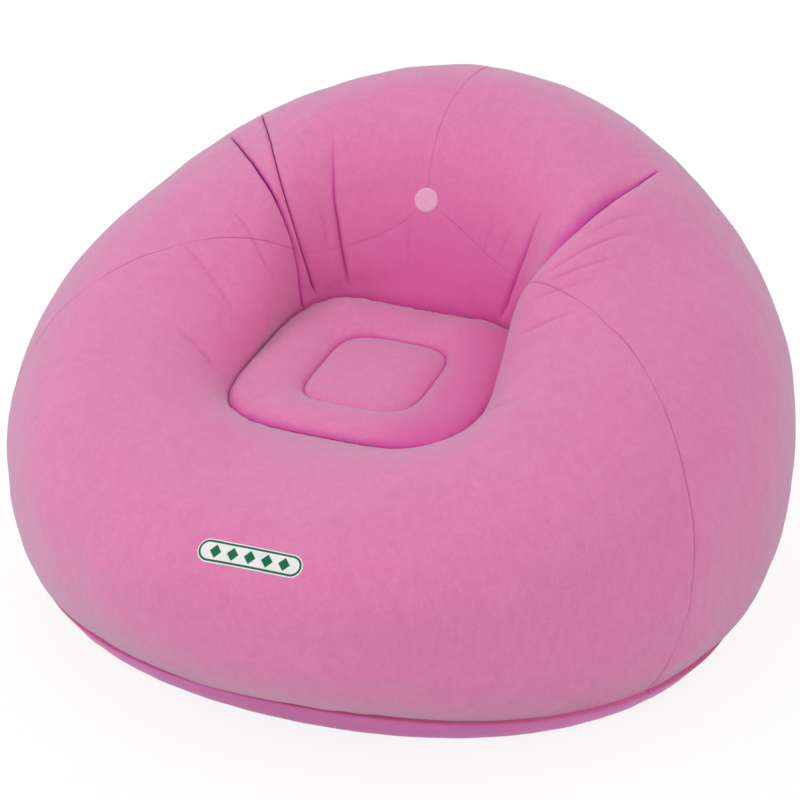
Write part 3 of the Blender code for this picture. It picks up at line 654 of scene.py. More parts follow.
@dataclass(frozen=True)
class Fold:
    """A crease of the skin, where two swells of it meet.

    Attributes:
        path: points, as turn and station, from the crest down into the well.
        depth: how deep the crease is.
        width: how far from its line the crease reaches.
        wide: how far it reaches on the side of more turn, where that is different.
        sharp: power of the crease's walls, more for a tighter crease.
        high: rise of the skin beside it on the side of more turn.
        low: rise of the skin beside it on the side of less turn.
        reach: how far from the line those rises are highest.
        fade: shares of its length over which it starts and ends.
        stain: how strongly shade is painted into the crease and beside it, up to 1.
        shade_reach: how far that painted shade reaches on the sides of less and of more turn.
        shade_fade: shares of its length over which the painted shade starts and ends.
    """

    path: tuple[FlatPoint, ...]
    depth: float
    width: float
    sharp: float = 2.4
    high: float = 0.0
    low: float = 0.0
    reach: float = 0.028
    fade: tuple[float, float] = (0.35, 0.12)
    wide: float = 0.0
    # The crease's painted shade: a darker, sheen-free colour in and beside its line, with its strength, reach and fade
    stain: float = 0.2
    shade_reach: tuple[float, float] = (5 * MM, 5 * MM)
    shade_fade: tuple[float, float] = (0.4, 0.3)
    NARROW: ClassVar[float] = 2 * MM
    NARROW_SHARE: ClassVar[float] = 0.1
    WIDENING: ClassVar[tuple[float, float]] = (0.05, 0.6)
    SHADE_EDGE: ClassVar[float] = 1.3

    @staticmethod
    def faded(share: Array, fade: tuple[float, float]) -> Array:
        """Something that starts and ends softly along the crease's length."""
        start, end = fade
        return smooth_step(share / start) * smooth_step((1.0 - share) / end)

    def painted_shade(self, share: Array, away: Array, more: NDArray[np.bool_]) -> Array:
        """How strongly shade is painted onto the pile.

        Args:
            share: shares of the crease's length.
            away: distances from its line.
            more: which places lie on the side of more turn.

        Returns:
            Strengths from 0 to 1.
        """
        reach = np.where(more, self.shade_reach[1], self.shade_reach[0])
        # The painted shade starts narrow and widens down the crease
        start, run = self.WIDENING
        reach = np.minimum(reach, self.NARROW + reach * (self.NARROW_SHARE + smooth_step((share - start) / run)))
        soft_edge = np.clip(1.0 - away / reach, 0.0, 1.0) ** self.SHADE_EDGE
        return self.stain * self.faded(share, self.shade_fade) * soft_edge


LEFT_DEEP = Fold(((147.6, 1.77), (148.4, 1.81), (150.6, 1.925), (152.1, 2.0), (152.4, 2.12), (152.1, 2.22),
                  (150.5, 2.39), (148.6, 2.535), (146.6, 2.667), (145.1, 2.795), (143.9, 2.923), (143.1, 2.995)),
                 8 * MM, 9 * MM, 1.8, high=1.5 * MM, low=-2 * MM, fade=(0.10, 0.04), wide=4 * MM,
                 stain=1.0, shade_reach=(6.0 * MM, 2.0 * MM), shade_fade=(0.05, 0.02))
LEFT_THIN = Fold(((139.6, 1.76), (141.4, 1.84), (143.5, 1.931), (145.5, 2.0), (146.4, 2.12), (146.9, 2.31),
                  (146.2, 2.454), (144.6, 2.588), (142.3, 2.716), (139.5, 2.838), (136.7, 2.96)),
                 5.5 * MM, 5 * MM, 1.8, high=-1 * MM, low=4 * MM, fade=(0.10, 0.05),
                 stain=0.95, shade_reach=(2.0 * MM, 2.0 * MM), shade_fade=(0.05, 0.03))
LEFT_SOFT = Fold(((129.0, 2.12), (128.2, 2.30), (128.6, 2.46), (128.7, 2.60), (127.9, 2.68), (127.0, 2.77),
                  (125.0, 2.90), (123.5, 2.96)), 5.5 * MM, 7 * MM, 1.8, high=2 * MM, low=3 * MM, reach=0.022,
                 fade=(0.80, 0.15), stain=0.60, shade_reach=(3.5 * MM, 4.5 * MM), shade_fade=(0.55, 0.12))
RIGHT_ARM = Fold(((42.0, 1.79), (41.2, 1.807), (38.1, 1.873), (35.5, 1.928), (33.2, 1.974), (31.8, 2.0),
                  (29.6, 2.111), (27.6, 2.259), (26.4, 2.399), (26.2, 2.48), (27.0, 2.58), (31.0, 2.70),
                  (45.0, 2.99)),
                 17 * MM, 7 * MM, 2.0, high=-5 * MM, low=11 * MM, reach=0.030, fade=(0.28, 0.04), wide=42 * MM,
                 stain=0.85, shade_reach=(2.5 * MM, 44 * MM), shade_fade=(0.04, 0.04))
RIGHT_SOFT = Fold(((47.0, 2.36), (48.1, 2.52), (48.9, 2.66), (51.5, 2.79), (54.1, 2.89), (56.4, 2.97)),
                  3.2 * MM, 9 * MM, 2.0, low=2 * MM, high=2 * MM, reach=0.02, fade=(0.5, 0.10),
                  stain=0.50, shade_reach=(7 * MM, 7 * MM), shade_fade=(0.5, 0.05))
SHARP_FOLDS = (LEFT_SOFT, LEFT_THIN, LEFT_DEEP, RIGHT_ARM, RIGHT_SOFT)
SMALL_FOLDS = (
    Fold(((22.5, 1.90), (20.5, 1.99), (19.2, 2.11), (17.9, 2.24), (17.3, 2.34), (17.6, 2.46)),
         3.4 * MM, 12 * MM, 2.4, low=2 * MM, high=-1 * MM, reach=0.016, fade=(0.35, 0.25), stain=0.30),
    Fold(((26.8, 1.88), (25.3, 1.98), (23.9, 2.07), (22.4, 2.20)), 2.2 * MM, 9 * MM, 2.0, fade=(0.4, 0.4)),
    Fold(((15.0, 1.98), (14.2, 2.04), (13.5, 2.15), (13.1, 2.29), (13.8, 2.42)), 2.8 * MM, 9 * MM, 2.2,
         fade=(0.4, 0.3)),
    Fold(((9.6, 2.08), (9.0, 2.22), (9.6, 2.36), (11.0, 2.48)), 1.8 * MM, 9 * MM, 2.0, fade=(0.5, 0.4)),
    Fold(((1.6, 2.12), (0.0, 2.27), (-0.5, 2.43), (2.0, 2.62)), 2.6 * MM, 12 * MM, 2.0, fade=(0.4, 0.3)),
    Fold(((-29.0, 2.70), (-28.2, 2.43), (-24.5, 2.24)), 2.0 * MM, 11 * MM, 2.0, fade=(0.2, 0.5)),
    Fold(((57.3, 2.60), (59.1, 2.70), (60.3, 2.79)), 2.2 * MM, 11 * MM, 2.0, fade=(0.5, 0.3)),
    Fold(((66.0, 2.60), (66.5, 2.69), (67.5, 2.80)), 1.4 * MM, 12 * MM, 2.0, fade=(0.5, 0.4)),
    Fold(((100.2, 2.69), (100.3, 2.77), (99.9, 2.87)), 1.8 * MM, 9 * MM, 2.0, fade=(0.25, 0.5)),
    Fold(((134.0, 2.55), (133.2, 2.66), (131.8, 2.78)), 1.6 * MM, 9 * MM, 2.0, fade=(0.5, 0.3)),
    Fold(((177.8, 1.95), (179.9, 2.07), (183.4, 2.27), (186.8, 2.47), (189.6, 2.69)), 3.0 * MM, 13 * MM, 2.2,
         high=1 * MM, reach=0.02, fade=(0.45, 0.3)),
    Fold(((165.4, 2.03), (165.0, 2.24), (164.9, 2.43), (164.5, 2.59), (160.7, 2.79)), 2.4 * MM, 12 * MM, 2.0,
         fade=(0.6, 0.35)),
    Fold(((203.3, 2.19), (206.4, 2.41), (209.2, 2.61), (211.3, 2.82)), 3.6 * MM, 13 * MM, 2.2, fade=(0.45, 0.25)),
    Fold(((207.5, 2.45), (210.0, 2.62), (212.5, 2.78)), 1.4 * MM, 8 * MM, 2.0, fade=(0.4, 0.4)),
)

CROWN: FlatPoint = (94.7, 2.65)
FLANK: tuple[FlatPoint, ...] = (
    (-29.5, -0.12), (-29.5, 0.0), (-26.2, 0.45), (-23.8, 0.75), (-23.3, 1.0), (-21.5, 1.33), (-17.4, 1.57),
    (-11.6, 1.79), (-2.3, 2.02), (6.7, 2.25), (16.8, 2.45), (28.5, 2.63), (42.0, 2.765), (57.0, 2.785), (75.0, 2.735))
BACK_SEAM: tuple[FlatPoint, ...] = (
    (90.0, -0.12), (90.0, 0.0), (90.0, 1.0), (90.5, 1.95), (93.5, 2.29), (94.7, 2.47), CROWN, (94.7, 3.1))
FULL_TURN = 360.0


class Seams:
    """The lines where the three panels are welded: two side seams and the back seam."""

    def __init__(self) -> None:
        """Lay the seams."""
        right = tuple((180.0 - turn, station) for turn, station in FLANK) + (CROWN,)
        left = tuple((FULL_TURN + turn, station) for turn, station in FLANK + (CROWN,))
        self.right = Route(right)
        self.left = Route(left)
        self.back = Route(BACK_SEAM)

    def behind(self, flat: Array) -> NDArray[np.bool_]:
        """Whether places, from the back seam round to it again, belong to the back panels."""
        turn, station = flat[:, 0], flat[:, 1]
        right = np.interp(turn, self.right.flat[::-1, 0], self.right.flat[::-1, 1], right=-9.0)
        left = np.interp(turn, self.left.flat[:, 0], self.left.flat[:, 1], left=-9.0)
        return station < np.where(turn < 270.0, right, left)


@dataclass(frozen=True)
class KeyLine:
    """A line of the mesh that runs from the base to the seat, with the columns up to the next.

    Attributes:
        turn_at: gives the line's turn at a station.
        fill: how many columns lie between this line and the next.
        offsets: turns of extra columns close beside the line.
    """

    turn_at: Callable[[float], float]
    fill: int
    offsets: tuple[float, ...] = ()


class Sheet:
    """A sheet as flat corners and faces, which is scored and cut before it is shaped.

    Each row of data holds a corner's turn and station, its signed distance from the side seams
    (positive behind them), its distance from the back seam and its distance from the valve.
    """

    TURN, STATION, SIDE, BACK, VALVE = range(5)

    def __init__(self, data: Array, faces: list[list[int]]) -> None:
        """Keep the corners and faces."""
        self.data = data
        self.faces = faces

    def cut(self, values: Array, drop: bool = True, near: float = SAME_PLACE) -> "Sheet":
        """Score the sheet where values pass through nil.

        Args:
            values: a number for each corner.
            drop: whether the side with negative values goes.
            near: values nearer to nil than this count as nil.

        Returns:
            The new sheet.
        """
        values = np.where(np.abs(values) < near, 0.0, values)
        signs = np.sign(values)
        value, sign = values.tolist(), signs.tolist()
        rows = list(self.data)
        crossings: dict[tuple[int, int], int] = {}
        faces = []
        for face in self.faces:
            high = any(sign[i] > 0 for i in face)
            low = any(sign[i] < 0 for i in face)
            if not (high and low):
                if high or not drop:
                    faces.append(face)
                continue
            above, below = [], []
            for a, b in zip(face, face[1:] + face[:1]):
                if sign[a] >= 0:
                    above.append(a)
                if sign[a] <= 0:
                    below.append(a)
                if sign[a] * sign[b] < 0:
                    key = (min(a, b), max(a, b))
                    if key not in crossings:
                        share = value[key[0]] / (value[key[0]] - value[key[1]])
                        crossings[key] = len(rows)
                        rows.append(rows[key[0]] + share * (rows[key[1]] - rows[key[0]]))
                    above.append(crossings[key])
                    below.append(crossings[key])
            faces.append(above)
            if not drop:
                faces.append(below)
        return Sheet(np.array(rows), faces)

    def scored(self, column: int, distances: Sequence[float]) -> "Sheet":
        """Score the sheet along lines at some distances from a seam."""
        sheet = self
        for distance in distances:
            sheet = sheet.cut(sheet.data[:, column] - distance, drop=False, near=0.5 * MM)
        return sheet

    def where(self, wanted: Callable[[Array], bool]) -> "Sheet":
        """The faces whose mean data passes a test."""
        faces = [face for face in self.faces if wanted(self.data[face].mean(axis=0))]
        return Sheet(self.data, faces)


class Workbench:
    """Shared ways to make, shape and finish a piece."""

    @staticmethod
    def clear_selection() -> None:
        """Deselect everything."""
        if bpy.context.mode != "OBJECT":
            bpy.ops.object.mode_set(mode="OBJECT")
        bpy.ops.object.select_all(action="DESELECT")

    @staticmethod
    def activate(obj: bpy.types.Object) -> None:
        """Make an object the only one selected, and the active one."""
        Workbench.clear_selection()
        obj.select_set(True)
        bpy.context.view_layer.objects.active = obj

    @staticmethod
    def pick(obj: bpy.types.Object, kind: str, wanted: Callable[[object], bool]) -> None:
        """Go into edit mode with only some corners or faces of an object selected.

        Args:
            obj: the object.
            kind: VERT or FACE.
            wanted: tells whether one is picked.
        """
        Workbench.activate(obj)
        bpy.ops.object.mode_set(mode="EDIT")
        bpy.ops.mesh.select_mode(type=kind)
        bpy.ops.mesh.select_all(action="DESELECT")
        bpy.ops.object.mode_set(mode="OBJECT")
        for item in obj.data.vertices if kind == "VERT" else obj.data.polygons:
            item.select = wanted(item)
        bpy.ops.object.mode_set(mode="EDIT")

    @staticmethod
    def from_corners(name: str, points: Array, faces: list[list[int]]) -> bpy.types.Object:
        """A mesh object from corners and faces, without the corners that no face uses."""
        used = np.unique(np.concatenate([np.array(face) for face in faces]))
        place = np.full(len(points), -1)
        place[used] = np.arange(len(used))
        mesh = bpy.data.meshes.new(name)
        mesh.from_pydata(points[used].tolist(), [], [[int(place[i]) for i in face] for face in faces])
        obj = bpy.data.objects.new(name, mesh)
        bpy.context.scene.collection.objects.link(obj)
        return obj

    @staticmethod
    def store(obj: bpy.types.Object, name: str, values: Array) -> None:
        """Store a number for each corner of a mesh."""
        store = obj.data.attributes.new(name, "FLOAT", "POINT")
        store.data.foreach_set("value", values.astype(np.float32))

    @staticmethod
    def merge(obj: bpy.types.Object, distance: float) -> None:
        """Merge corners that are in one place."""
        Workbench.activate(obj)
        bpy.ops.object.mode_set(mode="EDIT")
        bpy.ops.mesh.select_all(action="SELECT")
        bpy.ops.mesh.remove_doubles(threshold=distance)
        bpy.ops.object.mode_set(mode="OBJECT")

    @staticmethod
    def modify(obj: bpy.types.Object, kind: str, **settings: object) -> None:
        """Add a modifier and apply it."""
        Workbench.activate(obj)
        modifier = obj.modifiers.new(kind.lower(), kind)
        for key, value in settings.items():
            setattr(modifier, key, value)
        bpy.ops.object.modifier_apply(modifier=modifier.name)

    @staticmethod
    def smooth(obj: bpy.types.Object, angle: float = 50.0) -> None:
        """Shade smooth, with edges sharper than an angle kept sharp."""
        Workbench.activate(obj)
        bpy.ops.object.shade_smooth_by_angle(angle=math.radians(angle))

    @staticmethod
    def dress(obj: bpy.types.Object, slot: Slot, body: str, replaced: Sequence[str],
              *materials: bpy.types.Material) -> None:
        """Give a finished piece its materials and its body, and hide the nodes it stands for."""
        for material in materials:
            obj.data.materials.append(material)
        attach(obj, body)
        if replaced:
            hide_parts(*replaced)
        log.info("%s: %d faces, rides on %s", obj.name, len(obj.data.polygons), body)


@dataclass
class ValvePlace:
    """Where the valve sits on the right back panel.

    Attributes:
        turn: its turn on the skin.
        station: its station on the skin.
        inset: how far its flat lies below the plain skin.
        flat: radius of the flat.
        blend: radius where the flat ends.
        hole: radius of the hole in the panel.
    """

    turn: float = 113.5
    station: float = 0.6
    inset: float = 3 * MM
    flat: float = 44 * MM
    blend: float = 112 * MM
    hole: float = 24.5 * MM

    def __post_init__(self) -> None:
        """Work out the valve's own axes."""
        turn, station = np.array(self.turn), np.array(self.station)
        self.axis = AirSkin.outward(turn, station)
        self.centre = AirSkin.at(turn, station) - self.axis * self.inset
        upward = np.array([0.0, 0.0, 1.0]) - self.axis * self.axis[2]
        self.upward = upward / np.linalg.norm(upward)

    @property
    def matrix(self) -> Matrix:
        """Turns the valve's own places, x up the panel and z out of it, into the chair's."""
        side = np.cross(self.axis, self.upward)
        return Matrix.Translation(self.centre) @ Matrix((self.upward, side, self.axis)).transposed().to_4x4()

    def radius(self, points: Array) -> Array:
        """Distance of points from the valve's axis."""
        offset = points - self.centre
        return np.linalg.norm(offset - (offset @ self.axis)[:, None] * self.axis, axis=1)

    def flattened(self, points: Array) -> Array:
        """Points with those round the valve drawn onto its flat."""
        rise = (points - self.centre) @ self.axis
        share = smooth_step((self.blend - self.radius(points)) / (self.blend - self.flat))
        share = np.where(np.abs(rise) < self.blend / 2.0, share, 0.0)
        return points - (share * rise)[:, None] * self.axis


@dataclass
class FlockedSkin:
    """The three flocked panels, with their seams, folds and welds.

    Attributes:
        thickness: of the sheet with its flock.
        groove: depth of the seams.
        groove_width: how far from a seam its groove reaches.
        groove_fade: distances from the round patch's middle between which the seams fade in.
        pucker: height of the small gathers along the seams.
        seat_lip: width of the weld under the seat.
        lip_station: how far past their welds the lips run, in stations.
        row_counts: rows of the mesh below the belly, up to the crest and down to the seat.
        beside: turns of the mesh's lines beside a fold, in degrees.
        valve: where the valve sits.
    """

    palette: Palette
    thickness: float = 1.2 * MM
    groove: float = 1.2 * MM
    groove_width: float = 3.6 * MM
    groove_fade: tuple[float, float] = (22 * MM, 60 * MM)
    pucker: float = 0.5 * MM
    seat_lip: float = 10 * MM
    lip_station: float = 0.1
    row_counts: tuple[int, int, int] = (36, 54, 54)
    beside: tuple[float, ...] = (0.12, 0.3, 0.62, 1.15, 2.0)
    valve: ValvePlace = field(default_factory=ValvePlace)
    SEAM_REACH: ClassVar[float] = 0.07
    SEAM_FOLDED: ClassVar[float] = 0.42
    SEAM_LINE: ClassVar[float] = 1.6 * MM
    BASE_GATHER: ClassVar[float] = 0.8 * MM
    SEAT_GATHER: ClassVar[float] = 0.9 * MM
    SHADED_TURN: ClassVar[float] = 65.0
    LOW_SHADE: ClassVar[float] = 0.35
    WELD_CALM: ClassVar[tuple[float, float]] = (0.15, 0.12)
    VALVE_CALM: ClassVar[float] = 0.04
    CORNER_SHADE: ClassVar[float] = 0.3
    CORNER_START: ClassVar[float] = 2.95
    LIFTED: ClassVar[float] = 0.45

    def __post_init__(self) -> None:
        """Lay the seams and folds."""
        self.seams = Seams()
        self.folds = [(fold, Route(fold.path)) for fold in SHARP_FOLDS + SMALL_FOLDS]

    def _key_lines(self) -> list[KeyLine]:
        """The mesh's lines from the back seam round to it again."""
        soft, thin, deep, arm, near = (route for _, route in self.folds[:len(SHARP_FOLDS)])
        flank = np.array([point for point in FLANK if point[1] < 2.1])
        beside = tuple(-b for b in self.beside[::-1]) + self.beside

        def eased(route: Route, low_turn: float, shift: float = 0.0) -> Callable[[float], float]:
            first = float(route.flat[:, 1].min())

            def turn_at(station: float) -> float:
                share = float(smooth_step(np.array((station - 1.0) / max(first - 1.0, 0.1))))
                return shift + low_turn + (float(route.turn_at(max(station, first))) - low_turn) * share
            return turn_at

        def side(station: float) -> float:
            return float(np.interp(station, flank[:, 1], flank[:, 0]))

        def back(station: float) -> float:
            return float(self.seams.back.turn_at(station))

        return [
            KeyLine(back, 46), KeyLine(eased(soft, 126.0), 12, beside), KeyLine(eased(thin, 139.0), 9, beside),
            KeyLine(eased(deep, 152.0), 62, beside), KeyLine(lambda s: 180.0 - side(s), 92),
            KeyLine(lambda s: 270.0, 92), KeyLine(lambda s: FULL_TURN + side(s), 76),
            KeyLine(eased(arm, 36.0, FULL_TURN), 16, beside), KeyLine(eased(near, 54.0, FULL_TURN), 44, beside),
            KeyLine(lambda s: FULL_TURN + back(s), 0)]

    def _columns(self, lines: list[KeyLine], station: float) -> Array:
        """Turns of the mesh's columns at a station."""
        anchors = [(line.turn_at(station), line) for line in lines]
        turns: list[float] = []
        for (here, line), (there, ahead) in zip(anchors, anchors[1:]):
            start = here + max(line.offsets, default=0.0)
            end = there + min(ahead.offsets, default=0.0)
            if line.offsets:
                turns.extend(here + offset for offset in sorted(line.offsets + (0.0,)) if offset < max(line.offsets))
            turns.extend(start + (end - start) * step / (line.fill + 1) for step in range(line.fill + 1))
        return np.array(turns + [anchors[-1][0]])

    def _rows(self) -> Array:
        """Stations of the mesh's rows."""
        low, high, well = self.row_counts
        lip = self.lip_station
        return np.concatenate([[-lip, -lip / 2.0], np.linspace(0.0, 1.0, low, endpoint=False),
                               np.linspace(1.0, 2.0, high, endpoint=False), np.linspace(2.0, 3.0, well + 1),
                               [3.0 + lip / 2.0, 3.0 + lip]])

    def flat_sheet(self) -> Sheet:
        """The whole skin as a flat sheet, with corners on the seams."""
        lines = self._key_lines()
        stations = self._rows()
        turns = np.array([self._columns(lines, float(station)) for station in stations])
        flat = np.stack([turns, np.broadcast_to(stations[:, None], turns.shape)], -1)
        rows, columns = turns.shape
        points = AirSkin.at(flat[..., 0], flat[..., 1])
        beside = np.linalg.norm(np.diff(points, axis=1), axis=2)
        room = np.minimum(np.pad(beside, ((0, 0), (0, 1)), mode="edge"), np.pad(beside, ((0, 0), (1, 0)), mode="edge"))
        flat, points, room = flat.reshape(-1, 2), points.reshape(-1, 3), room.ravel()
        inner = (flat[:, 1] > 0.0) & (flat[:, 1] < 3.0)
        side_away = np.full(len(flat), np.inf)
        edges = np.tile(np.arange(columns), rows)
        for seam in (self.seams.right, self.seams.left):
            away, _, feet, _ = seam.nearest(points)
            near = (away < 0.42 * room) & inner & (edges > 0) & (edges < columns - 1)
            flat = np.where(near[:, None], feet, flat)
            side_away = np.minimum(side_away, np.where(near, 0.0, np.maximum(away, 0.05 * MM)))
        points = AirSkin.at(flat[:, 0], flat[:, 1])
        sign = np.where(self.seams.behind(flat), 1.0, -1.0)
        back_away = self.seams.back.nearest(points)[0]
        back_away = np.where((edges == 0) | (edges == columns - 1), 0.0, back_away)
        data = np.column_stack([flat, side_away * sign, back_away, self.valve.radius(points)])
        number = np.arange(rows * columns).reshape(rows, columns)
        quads = np.stack([number[:-1, :-1], number[:-1, 1:], number[1:, 1:], number[1:, :-1]], -1).reshape(-1, 4)
        sheet = Sheet(data, quads.tolist())
        for distance in (1.4 * MM, self.groove_width):
            sheet = sheet.scored(Sheet.SIDE, (distance, -distance)).scored(Sheet.BACK, (distance,))
        return sheet

    def _fold_rise(self, data: Array, points: Array) -> tuple[Array, Array]:
        """Rise of the skin from its folds, and the shade painted in and beside them, from 0 to 1."""
        rise = np.zeros(len(points))
        shade_and_seam_line = np.zeros(len(points))
        for fold, route in self.folds:
            reach = max(fold.width, fold.wide, 4.0 * fold.reach if (fold.high or fold.low) else 0.0)
            low, high = route.points.min(axis=0) - reach, route.points.max(axis=0) + reach
            near = np.flatnonzero(((points > low) & (points < high)).all(axis=1))
            if not len(near):
                continue
            away, along, feet, _ = route.nearest(points[near])
            share = along / route.along[-1]
            strength = fold.faded(share, fold.fade)
            off = (data[near, Sheet.TURN] - feet[:, 0] + 180.0) % FULL_TURN - 180.0
            width = np.where(off > 0.0, fold.wide or fold.width, fold.width)
            crease = np.clip(1.0 - away / width, 0.0, 1.0) ** fold.sharp
            far = away / fold.reach
            swell = np.where(off > 0.0, fold.high, fold.low) * far * np.exp(1.0 - far)
            rise[near] += strength * (swell - fold.depth * crease)
            shade_and_seam_line[near] = np.maximum(shade_and_seam_line[near], fold.painted_shade(share, away, off > 0.0))
        return rise, shade_and_seam_line

    def _seam_rise(self, data: Array, points: Array) -> tuple[Array, Array]:
        """Rise of the skin from the grooves and gathers of its seams, and how dark its seam lines are."""
        rise = np.zeros(len(points))
        shade_and_seam_line = np.zeros(len(points))
        start, end = self.groove_fade
        crown = np.linalg.norm(points - AirSkin.at(*np.array(CROWN)), axis=1)
        shown = smooth_step((crown - start) / (end - start))
        below = (data[:, Sheet.SIDE] < 0.0) & (data[:, Sheet.STATION] > 2.0)
        for seam, column in ((self.seams.right, Sheet.SIDE), (self.seams.left, Sheet.SIDE),
                             (self.seams.back, Sheet.BACK)):
            near = np.flatnonzero(np.abs(data[:, column]) < self.SEAM_REACH)
            away, along, _, _ = seam.nearest(points[near])
            groove = np.clip(1.0 - away / self.groove_width, 0.0, 1.0) ** 2
            waves = np.sin(along / 0.0105 + 1.7 * np.sin(along / 0.041)) + 0.6 * np.sin(along / 0.0062 + 2.0)
            calm = 0.35 + 0.65 * smooth_step(0.5 + 0.5 * np.sin(along / 0.071 + 1.0))
            gathers = self.pucker * waves * calm * np.exp(-away / 0.011) * smooth_step(away / (2.5 * MM))
            here = shown[near] * np.where(below[near], 0.0 if column == Sheet.BACK else 1.0, 1.0)
            uneven = 0.62 + 0.38 * np.sin(along / 0.037 + 2.0 * np.sin(along / 0.09))
            rise[near] += here * (gathers - self.groove * groove * uneven)
            line = np.clip(1.0 - away / self.SEAM_LINE, 0.0, 1.0)
            shade_and_seam_line[near] = np.maximum(shade_and_seam_line[near], self.SEAM_FOLDED * here * uneven * line)
        return rise, shade_and_seam_line

    @classmethod
    def _painted_shade_and_lip_tint(cls, data: Array) -> Array:
        """Shade painted on the pile low in the well, and a deeper pink at the base weld, from 0 to 1.

        Args:
            data: rows of a sheet's data.

        Returns:
            The shares, with painted shade highest low at the back and right of the well.
        """
        turn, station = data[:, Sheet.TURN], data[:, Sheet.STATION]
        facing = np.clip(0.55 + 0.45 * np.cos(np.radians(turn - cls.SHADED_TURN)), 0.0, 1.0)
        deep = smooth_step((station - 2.3) / 0.7) * facing
        return np.maximum(deep, cls.LOW_SHADE - cls.LOW_SHADE * smooth_step(station / 0.04))

    def _edge_rise(self, data: Array) -> Array:
        """Rise of the skin from the gathers at the base weld and at the seat's edge."""
        turn, station = np.radians(data[:, Sheet.TURN]), data[:, Sheet.STATION]
        base = np.exp(-np.clip(station, 0.0, 9.0) / 0.16) * smooth_step(station / 0.05)
        waves = np.sin(47.0 * turn + 2.0 * np.sin(5.0 * turn)) + 0.7 * np.sin(83.0 * turn + 3.0 * np.sin(3.0 * turn))
        low = self.BASE_GATHER * base * waves * (0.4 + 0.6 * np.sin(4.0 * turn + 0.6) ** 2)
        seat = np.exp(-np.clip(3.0 - station, 0.0, 9.0) / 0.10) * smooth_step((3.0 - station) / 0.03)
        corners = 0.3 + 0.7 * np.sin(2.0 * turn) ** 4
        waves = np.sin(38.0 * turn + 2.2 * np.sin(4.0 * turn)) + 0.8 * np.sin(61.0 * turn + 1.0)
        return low + self.SEAT_GATHER * seat * corners * waves

    def shaped(self, data: Array) -> tuple[Array, Array, Array]:
        """The dressed skin at flat places.

        Args:
            data: rows of a sheet's data.

        Returns:
            Its points, its outward directions, and the shade painted into its creases and wall corner with its darker
            seam lines.
        """
        turn, station = data[:, Sheet.TURN], data[:, Sheet.STATION]
        plain = AirSkin.at(turn, station)
        outward = AirSkin.outward(turn, station)
        rise, shade_and_seam_line = self._fold_rise(data, plain)
        seam_rise, seam_folded = self._seam_rise(data, plain)
        low, high = self.WELD_CALM
        calm = smooth_step(station / low) * smooth_step((3.0 - station) / high)
        rise += seam_rise + self._edge_rise(data)
        rise += calm * sum(swell.at(plain) for swell in SWELLS)
        rise = rise * smooth_step((self.valve.radius(plain) - self.valve.flat) / self.VALVE_CALM)
        points = self.valve.flattened(plain + outward * rise[:, None])
        points = self._lipped(points, turn, station)
        # Shade painted into the corner where the wall meets the seat
        start = self.CORNER_START
        corner = self.CORNER_SHADE * np.clip((station - start) / (3.0 - start), 0.0, 1.0)
        return points, outward, np.maximum(np.maximum(shade_and_seam_line, seam_folded), corner)

    def _lipped(self, points: Array, turn: Array, station: Array) -> Array:
        """Points with the weld lips at both ends of the skin."""
        points = points + BaseWeld.shift(points, turn, 1.0 - smooth_step(station / self.LIFTED),
                                         np.clip(-station / self.lip_station, 0.0, 1.0))
        inward = np.array([0.0, SEAT_LINE.centre]) - points[:, :2]
        inward = inward / np.linalg.norm(inward, axis=1, keepdims=True)
        high = np.clip((station - 3.0) / self.lip_station, 0.0, 1.0)[:, None]
        lip = np.column_stack([inward * self.seat_lip, SeatPlane.RISE * inward[:, 1] * self.seat_lip])
        drop = np.where(station >= 3.0, -(self.thickness + JOIN_GAP), 0.0)
        return points + high * lip + np.column_stack([np.zeros((len(points), 2)), drop])

    def _parted(self, data: Array, points: Array, outward: Array, seams: Sequence[tuple[Route, int]],
                middle: Array) -> Array:
        """Points with the panel's edges drawn back from its seams by half the gap."""
        points = points.copy()
        for seam, column in seams:
            edge = np.flatnonzero(np.abs(data[:, column]) < SAME_PLACE)
            if not len(edge):
                continue
            plain = AirSkin.at(data[edge, Sheet.TURN], data[edge, Sheet.STATION])
            away, _, _, way = seam.nearest(plain)
            sideways = np.cross(outward[edge], way)
            sign = np.sign(((middle - points[edge]) * sideways).sum(axis=1))
            step = sideways * (sign * JOIN_GAP / 2.0)[:, None]
            points[edge] += np.where((away < 1 * MM)[:, None], step, 0.0)
        return points

    def panel(self, name: str, sheet: Sheet) -> bpy.types.Object:
        """Shape one flocked panel as a closed sheet."""
        points, outward, shade_and_seam_line = self.shaped(sheet.data)
        used = np.unique(np.concatenate([np.array(face) for face in sheet.faces]))
        middle = points[used].mean(axis=0)
        seams = ((self.seams.right, Sheet.SIDE), (self.seams.left, Sheet.SIDE), (self.seams.back, Sheet.BACK))
        points = self._parted(sheet.data, points, outward, seams, middle)
        obj = Workbench.from_corners(name, points, sheet.faces)
        Workbench.store(obj, "shade_and_seam_line", shade_and_seam_line[used])
        Workbench.store(obj, "painted_shade_and_lip_tint", self._painted_shade_and_lip_tint(sheet.data[used]))
        Workbench.merge(obj, 0.05 * MM)
        Workbench.modify(obj, "SOLIDIFY", thickness=self.thickness, offset=-1.0, use_rim=True)
        Workbench.smooth(obj, 60.0)
        return obj

    def tape(self, name: str, sheet: Sheet, thickness: float = 0.5 * MM) -> bpy.types.Object:
        """Shape one seam tape as a closed strip behind the skin."""
        points, outward, _ = self.shaped(sheet.data)
        obj = Workbench.from_corners(name, points - outward * (self.thickness + JOIN_GAP), sheet.faces)
        Workbench.merge(obj, 0.05 * MM)
        Workbench.modify(obj, "SOLIDIFY", thickness=thickness, offset=-1.0, use_rim=True)
        Workbench.smooth(obj)
        return obj

